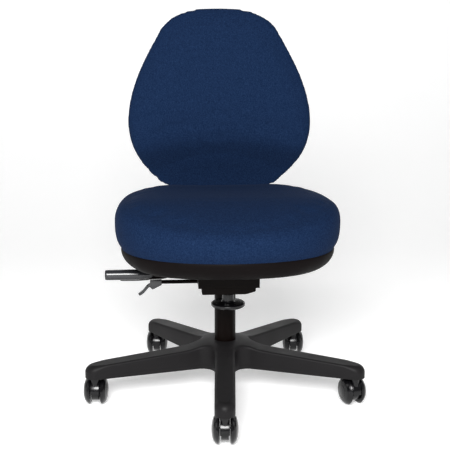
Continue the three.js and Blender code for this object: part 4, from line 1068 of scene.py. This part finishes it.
def lever_rod(name, body, node, pivot, legs, tongue):
    """A bent round rod from a barrel on the lever shaft. legs are steps from the pivot, in millimetres."""
    pivot = Vector(pivot)
    path = smooth_path([pivot + Vector(leg) * MM for leg in legs], 40)
    rod = sweep(path, circle(ROD_R, 18))
    barrel = prism(circle(BARREL_R, 32), -BARREL_HALF, BARREL_HALF, "Y", 0.0006)
    barrel = (moved(barrel[0], Matrix.Translation(pivot)), barrel[1])
    finger = prism(fillet([(x * MM, z * MM) for x, z in tongue], 0.001), -0.0045, 0.0045, "Y", 0.0004)
    finger = (moved(finger[0], Matrix.Translation(pivot)), finger[1])
    rod_piece = make_object(name, *merge(rod, barrel, finger), smooth_angle=40)
    settle(rod_piece, body, "plain_steel", "powder_coat", node)


def height_lever():
    pivot = joint("height_lever_lift")["pos_m"]
    grip_low, grip_high = low("height_lever_grip"), high("height_lever_grip")
    axis = Vector(centre("height_lever_grip"))
    inner = Vector((grip_high[0], axis.y, axis.z))
    reach = (inner - Vector(pivot)) / MM
    legs = [(0, 0, 0), (-49, 0, 1), (-79, -14, 5), (-114, -52, reach.z - 4), (reach.x + 18, reach.y, reach.z),
            (reach.x, reach.y, reach.z), (reach.x - 13, reach.y, reach.z)]
    lever_rod("height_lever_rod", "height_control", "height_lever", pivot, legs,
              [(-2, -3), (5, -3), (16, 8), (40, 12.6), (54, 12.6), (54, 17), (12, 17), (-2, 5)])
    radius = (grip_high[2] - grip_low[2]) / 2
    outer_x, inner_x = grip_low[0], grip_high[0]
    stations = smooth_path([
        (outer_x, axis.y, axis.z), (outer_x + 0.03, axis.y, axis.z), (inner_x - 0.008, axis.y, axis.z),
        (inner_x + 0.010, axis.y + 0.001, axis.z - 0.001),
        (inner_x + 0.026, axis.y + 0.006, axis.z - 0.0025)], 46)
    run = np.linspace(0, 1, len(stations))
    share = np.interp(run, [0, 0.012, 0.03, 0.5, 0.72, 0.86, 0.97, 1.0],
                      [0.86, 0.95, 0.98, 1.0, 1.0, 0.78, 0.6, 0.52])
    round_grip = sweep(stations, [circle(radius * s, 28) for s in share])
    grip = make_object("height_grip", *round_grip, smooth_angle=45)
    settle(grip, "height_control", "gloss_plastic", "polished_abs", "height_lever_grip")


def back_lever():
    pivot = joint("back_lever_lift")["pos_m"]
    grip_low, grip_high = low("back_lever_grip"), high("back_lever_grip")
    axis = Vector(centre("back_lever_grip"))
    reach = (Vector((grip_high[0], axis.y, axis.z)) - Vector(pivot)) / MM
    legs = [(0, 0, 0), (-44, 0, 0), (-74, -8, 0), (-94, reach.y + 8, reach.z),
            (reach.x + 16, reach.y, reach.z),
            (reach.x, reach.y, reach.z), (reach.x - 13, reach.y, reach.z)]
    lever_rod("back_lever_rod", "back_control", "back_lever", pivot, legs,
              [(-2, -3), (22, -3), (22, 5), (-2, 5)])
    radius = (grip_high[2] - grip_low[2]) / 2
    stations = [(x, axis.y, axis.z) for x in np.linspace(grip_low[0], grip_high[0], 30)]
    run = np.linspace(0, 1, len(stations))
    share = np.interp(run, [0, 0.02, 0.06, 0.6, 0.93, 1.0], [0.8, 0.93, 0.98, 1.0, 0.8, 0.6])
    flat = [circle(radius * s, 28) * (1.0, 0.82) for s in share]
    grip = make_object("back_grip", *sweep(stations, flat), smooth_angle=45)
    settle(grip, "back_control", "gloss_plastic", "polished_abs", "back_lever_grip")


def tilt_lever():
    a, b = low("tilt_lever"), high("tilt_lever")
    axis = centre("tilt_lever")
    length = b[0] - a[0]
    rod = revolve([(0, 0), (ROD_R, 0), (ROD_R, length), (0, length)], 0.0008, around=32)
    place = Matrix.Translation((a[0], axis[1], axis[2])) @ Matrix.Rotation(math.pi / 2, 4, "Y")
    fitted("tilt_lever_rod", rod, place, "tilt_control", "plain_steel", "powder_coat", "tilt_lever")
    (low_x, _, tip), high_x = low("tilt_lever_blade"), high("tilt_lever_blade")[0]
    z = axis[2]
    hub = fillet([(high_x, z + 0.006), (high_x, z - 0.006), (high_x - 0.021, z - 0.0165),
                  (high_x - 0.027, z - 0.011), (high_x - 0.027, z + 0.005)], 0.002)
    block = prism(hub, axis[1] - 0.0075, axis[1] + 0.0075, "Y", 0.0012)
    curve = smooth_path([(high_x - 0.018, axis[1], z - 0.004), (high_x - 0.031, axis[1], z - 0.009),
                         (high_x - 0.043, axis[1], z - 0.022), (low_x + 0.0035, axis[1], tip + 0.003)], 26)
    widths = np.interp(np.linspace(0, 1, 26), [0, 0.2, 0.85, 1], [0.0070, 0.0078, 0.0070, 0.0045])
    sections = [fillet([(-w, -0.003), (w, -0.003), (w, 0.003), (-w, 0.003)], 0.0016) for w in widths]
    blade = sweep(curve, sections, up=Vector((0, 0, 1)))
    piece = make_object("tilt_blade", *merge(block, blade), smooth_angle=45)
    settle(piece, "tilt_control", "gloss_plastic", "polished_abs", "tilt_lever_blade")


# ------------------------------------------------------------------ parts carried over from the frame
CARRIED = {
    "beech_plywood": ["seat_board", "back_board"],
    "moulded_nylon": ["back_height_sleeve"],
    "ground_steel": ["piston_rod", "thrust_bearing"] + [f"castor_axle_{i}" for i in CASTORS],
    "zinc_plate": ["rod_clip", "lever_shaft", "tension_spring", "spring_plate", "valve_pin", "tension_screw"]
    + [f"castor_stem_{i}" for i in CASTORS] + [f"seat_bolt_{i}" for i in range(1, 5)],
}


def carried_parts():
    for finish, nodes in CARRIED.items():
        for node in nodes:
            for holder in frame["nodes"][node].material_slots:
                holder.link = "OBJECT"
                holder.material = material(finish)


# ------------------------------------------------------------------ stage
def seamless_paper():
    """Matt studio paper, lit from behind as on a light table: near white, with a faint fibre mottle."""
    recipe = Recipe("seamless_paper", Specular_IOR_Level=0.1, Emission_Strength=0.28)
    recipe.shader.inputs["Emission Color"].default_value = (1, 1, 1, 1)
    return grained(recipe, to_linear("f6f6f6"), 4.0, 0.05, 0.01, 0.9, 0.02, slow_mm=300)


def softbox(name, place, target, size, power):
    light = bpy.data.lights.new(name, "AREA")
    light.shape = "RECTANGLE"
    light.size, light.size_y = size
    light.energy = power
    lamp = bpy.data.objects.new(name, light)
    lamp.location = place
    lamp.rotation_euler = (Vector(target) - Vector(place)).to_track_quat("-Z", "Y").to_euler()
    bpy.context.scene.collection.objects.link(lamp)


def stage():
    line = fillet([(-6.0, 0.0), (3.2, 0.0), (3.2, 5.0)], 1.6, closed=False, steps=24)
    points = [(x, y, z) for y, z in line for x in (-7.0, 7.0)]
    faces = [(2 * i, 2 * i + 1, 2 * i + 3, 2 * i + 2) for i in range(len(line) - 1)]
    sweep_paper = make_object("studio_paper", points, faces)
    sweep_paper.data.materials.append(seamless_paper())
    world = bpy.data.worlds.new("studio")
    bpy.context.scene.world = world
    world.use_nodes = True
    backdrop = world.node_tree.nodes["Background"]
    backdrop.inputs["Color"].default_value = (1, 1, 1, 1)
    backdrop.inputs["Strength"].default_value = 0.2
    bpy.context.scene.view_settings.view_transform = "Standard"
    middle = COLUMN + Vector((0, 0, 0.5))
    softbox("key_box", middle + Vector((-0.35, -2.6, 1.15)), middle, (1.3, 0.9), 142)
    softbox("left_box", middle + Vector((-2.6, -0.6, 0.6)), middle, (0.7, 1.8), 7)
    softbox("right_box", middle + Vector((2.6, -0.6, 0.6)), middle, (0.7, 1.8), 7)


def camera():
    turn, pitch = math.radians(4), math.radians(10.7)
    away, height = 1.975, 0.778
    lens = bpy.data.cameras.new("studio_camera")
    lens.lens = 68.9
    lens.sensor_width = 36
    eye = bpy.data.objects.new("studio_camera", lens)
    eye.location = COLUMN + Vector((-away * math.sin(turn), -away * math.cos(turn), height))
    eye.rotation_euler = (math.pi / 2 - pitch, 0, -turn)
    bpy.context.scene.collection.objects.link(eye)
    bpy.context.scene.camera = eye


# ------------------------------------------------------------------ operators, panel and registration
class CHAIR_OT_stage(bpy.types.Operator):
    """Set up the paper sweep, lights and camera"""
    bl_idname = "chair.stage"
    bl_label = "Stage"

    def execute(self, context):
        stage()
        camera()
        return {"FINISHED"}


class CHAIR_OT_base(bpy.types.Operator):
    """Build the moulded star base"""
    bl_idname = "chair.base"
    bl_label = "Star base"

    def execute(self, context):
        base_star()
        return {"FINISHED"}


class CHAIR_OT_castors(bpy.types.Operator):
    """Build the five twin-wheel castors"""
    bl_idname = "chair.castors"
    bl_label = "Castors"

    def execute(self, context):
        for number in CASTORS:
            castor_body(number)
            castor_wheel(number, 1)
            castor_wheel(number, -1)
        return {"FINISHED"}


class CHAIR_OT_gas_lift(bpy.types.Operator):
    """Build the column, its bush and its cylinder"""
    bl_idname = "chair.gas_lift"
    bl_label = "Gas lift"

    def execute(self, context):
        gas_lift()
        return {"FINISHED"}


class CHAIR_OT_mechanism(bpy.types.Operator):
    """Build the tilt housing, seat channel, pins and tension knob"""
    bl_idname = "chair.mechanism"
    bl_label = "Mechanism"

    def execute(self, context):
        housing()
        seat_plate()
        pins()
        tension_knob()
        return {"FINISHED"}


class CHAIR_OT_levers(bpy.types.Operator):
    """Build the height, back and seat tilt levers"""
    bl_idname = "chair.levers"
    bl_label = "Levers"

    def execute(self, context):
        height_lever()
        back_lever()
        tilt_lever()
        return {"FINISHED"}


class CHAIR_OT_seat(bpy.types.Operator):
    """Build the seat pan and its cushion"""
    bl_idname = "chair.seat"
    bl_label = "Seat"

    def execute(self, context):
        seat_pan()
        seat_cushion()
        return {"FINISHED"}


class CHAIR_OT_back(bpy.types.Operator):
    """Build the back bar, shell and cushion"""
    bl_idname = "chair.back"
    bl_label = "Back"

    def execute(self, context):
        back_bar()
        back_shell()
        back_cushion()
        return {"FINISHED"}


class CHAIR_OT_carried(bpy.types.Operator):
    """Give the frame parts that stay their finishes"""
    bl_idname = "chair.carried"
    bl_label = "Frame finishes"

    def execute(self, context):
        carried_parts()
        return {"FINISHED"}


OPERATORS = (CHAIR_OT_stage, CHAIR_OT_base, CHAIR_OT_castors, CHAIR_OT_gas_lift, CHAIR_OT_mechanism,
             CHAIR_OT_levers, CHAIR_OT_seat, CHAIR_OT_back, CHAIR_OT_carried)


class CHAIR_PT_builder(bpy.types.Panel):
    """Lists the chair's pieces in building order"""
    bl_idname = "CHAIR_PT_builder"
    bl_label = "Task Chair"
    bl_space_type = "VIEW_3D"
    bl_region_type = "UI"
    bl_category = "Chair"

    def draw(self, context):
        layout = self.layout
        for group in (context.scene.chair_sizes, context.scene.chair_colours):
            box = layout.box()
            for name in group.bl_rna.properties.keys():
                if name not in ("rna_type", "name"):
                    box.prop(group, name)
        for operator in OPERATORS:
            layout.operator(operator.bl_idname)


CLASSES = (ChairColours, ChairSizes, *OPERATORS, CHAIR_PT_builder)


def register():
    for one in CLASSES:
        bpy.utils.register_class(one)
    bpy.types.Scene.chair_colours = bpy.props.PointerProperty(type=ChairColours)
    bpy.types.Scene.chair_sizes = bpy.props.PointerProperty(type=ChairSizes)


def unregister():
    del bpy.types.Scene.chair_sizes
    del bpy.types.Scene.chair_colours
    for one in reversed(CLASSES):
        bpy.utils.unregister_class(one)


def main():
    register()
    for operator in OPERATORS:
        name = operator.bl_idname.split(".")[1]
        getattr(bpy.ops.chair, name)()


if __name__ == "__main__":
    main()
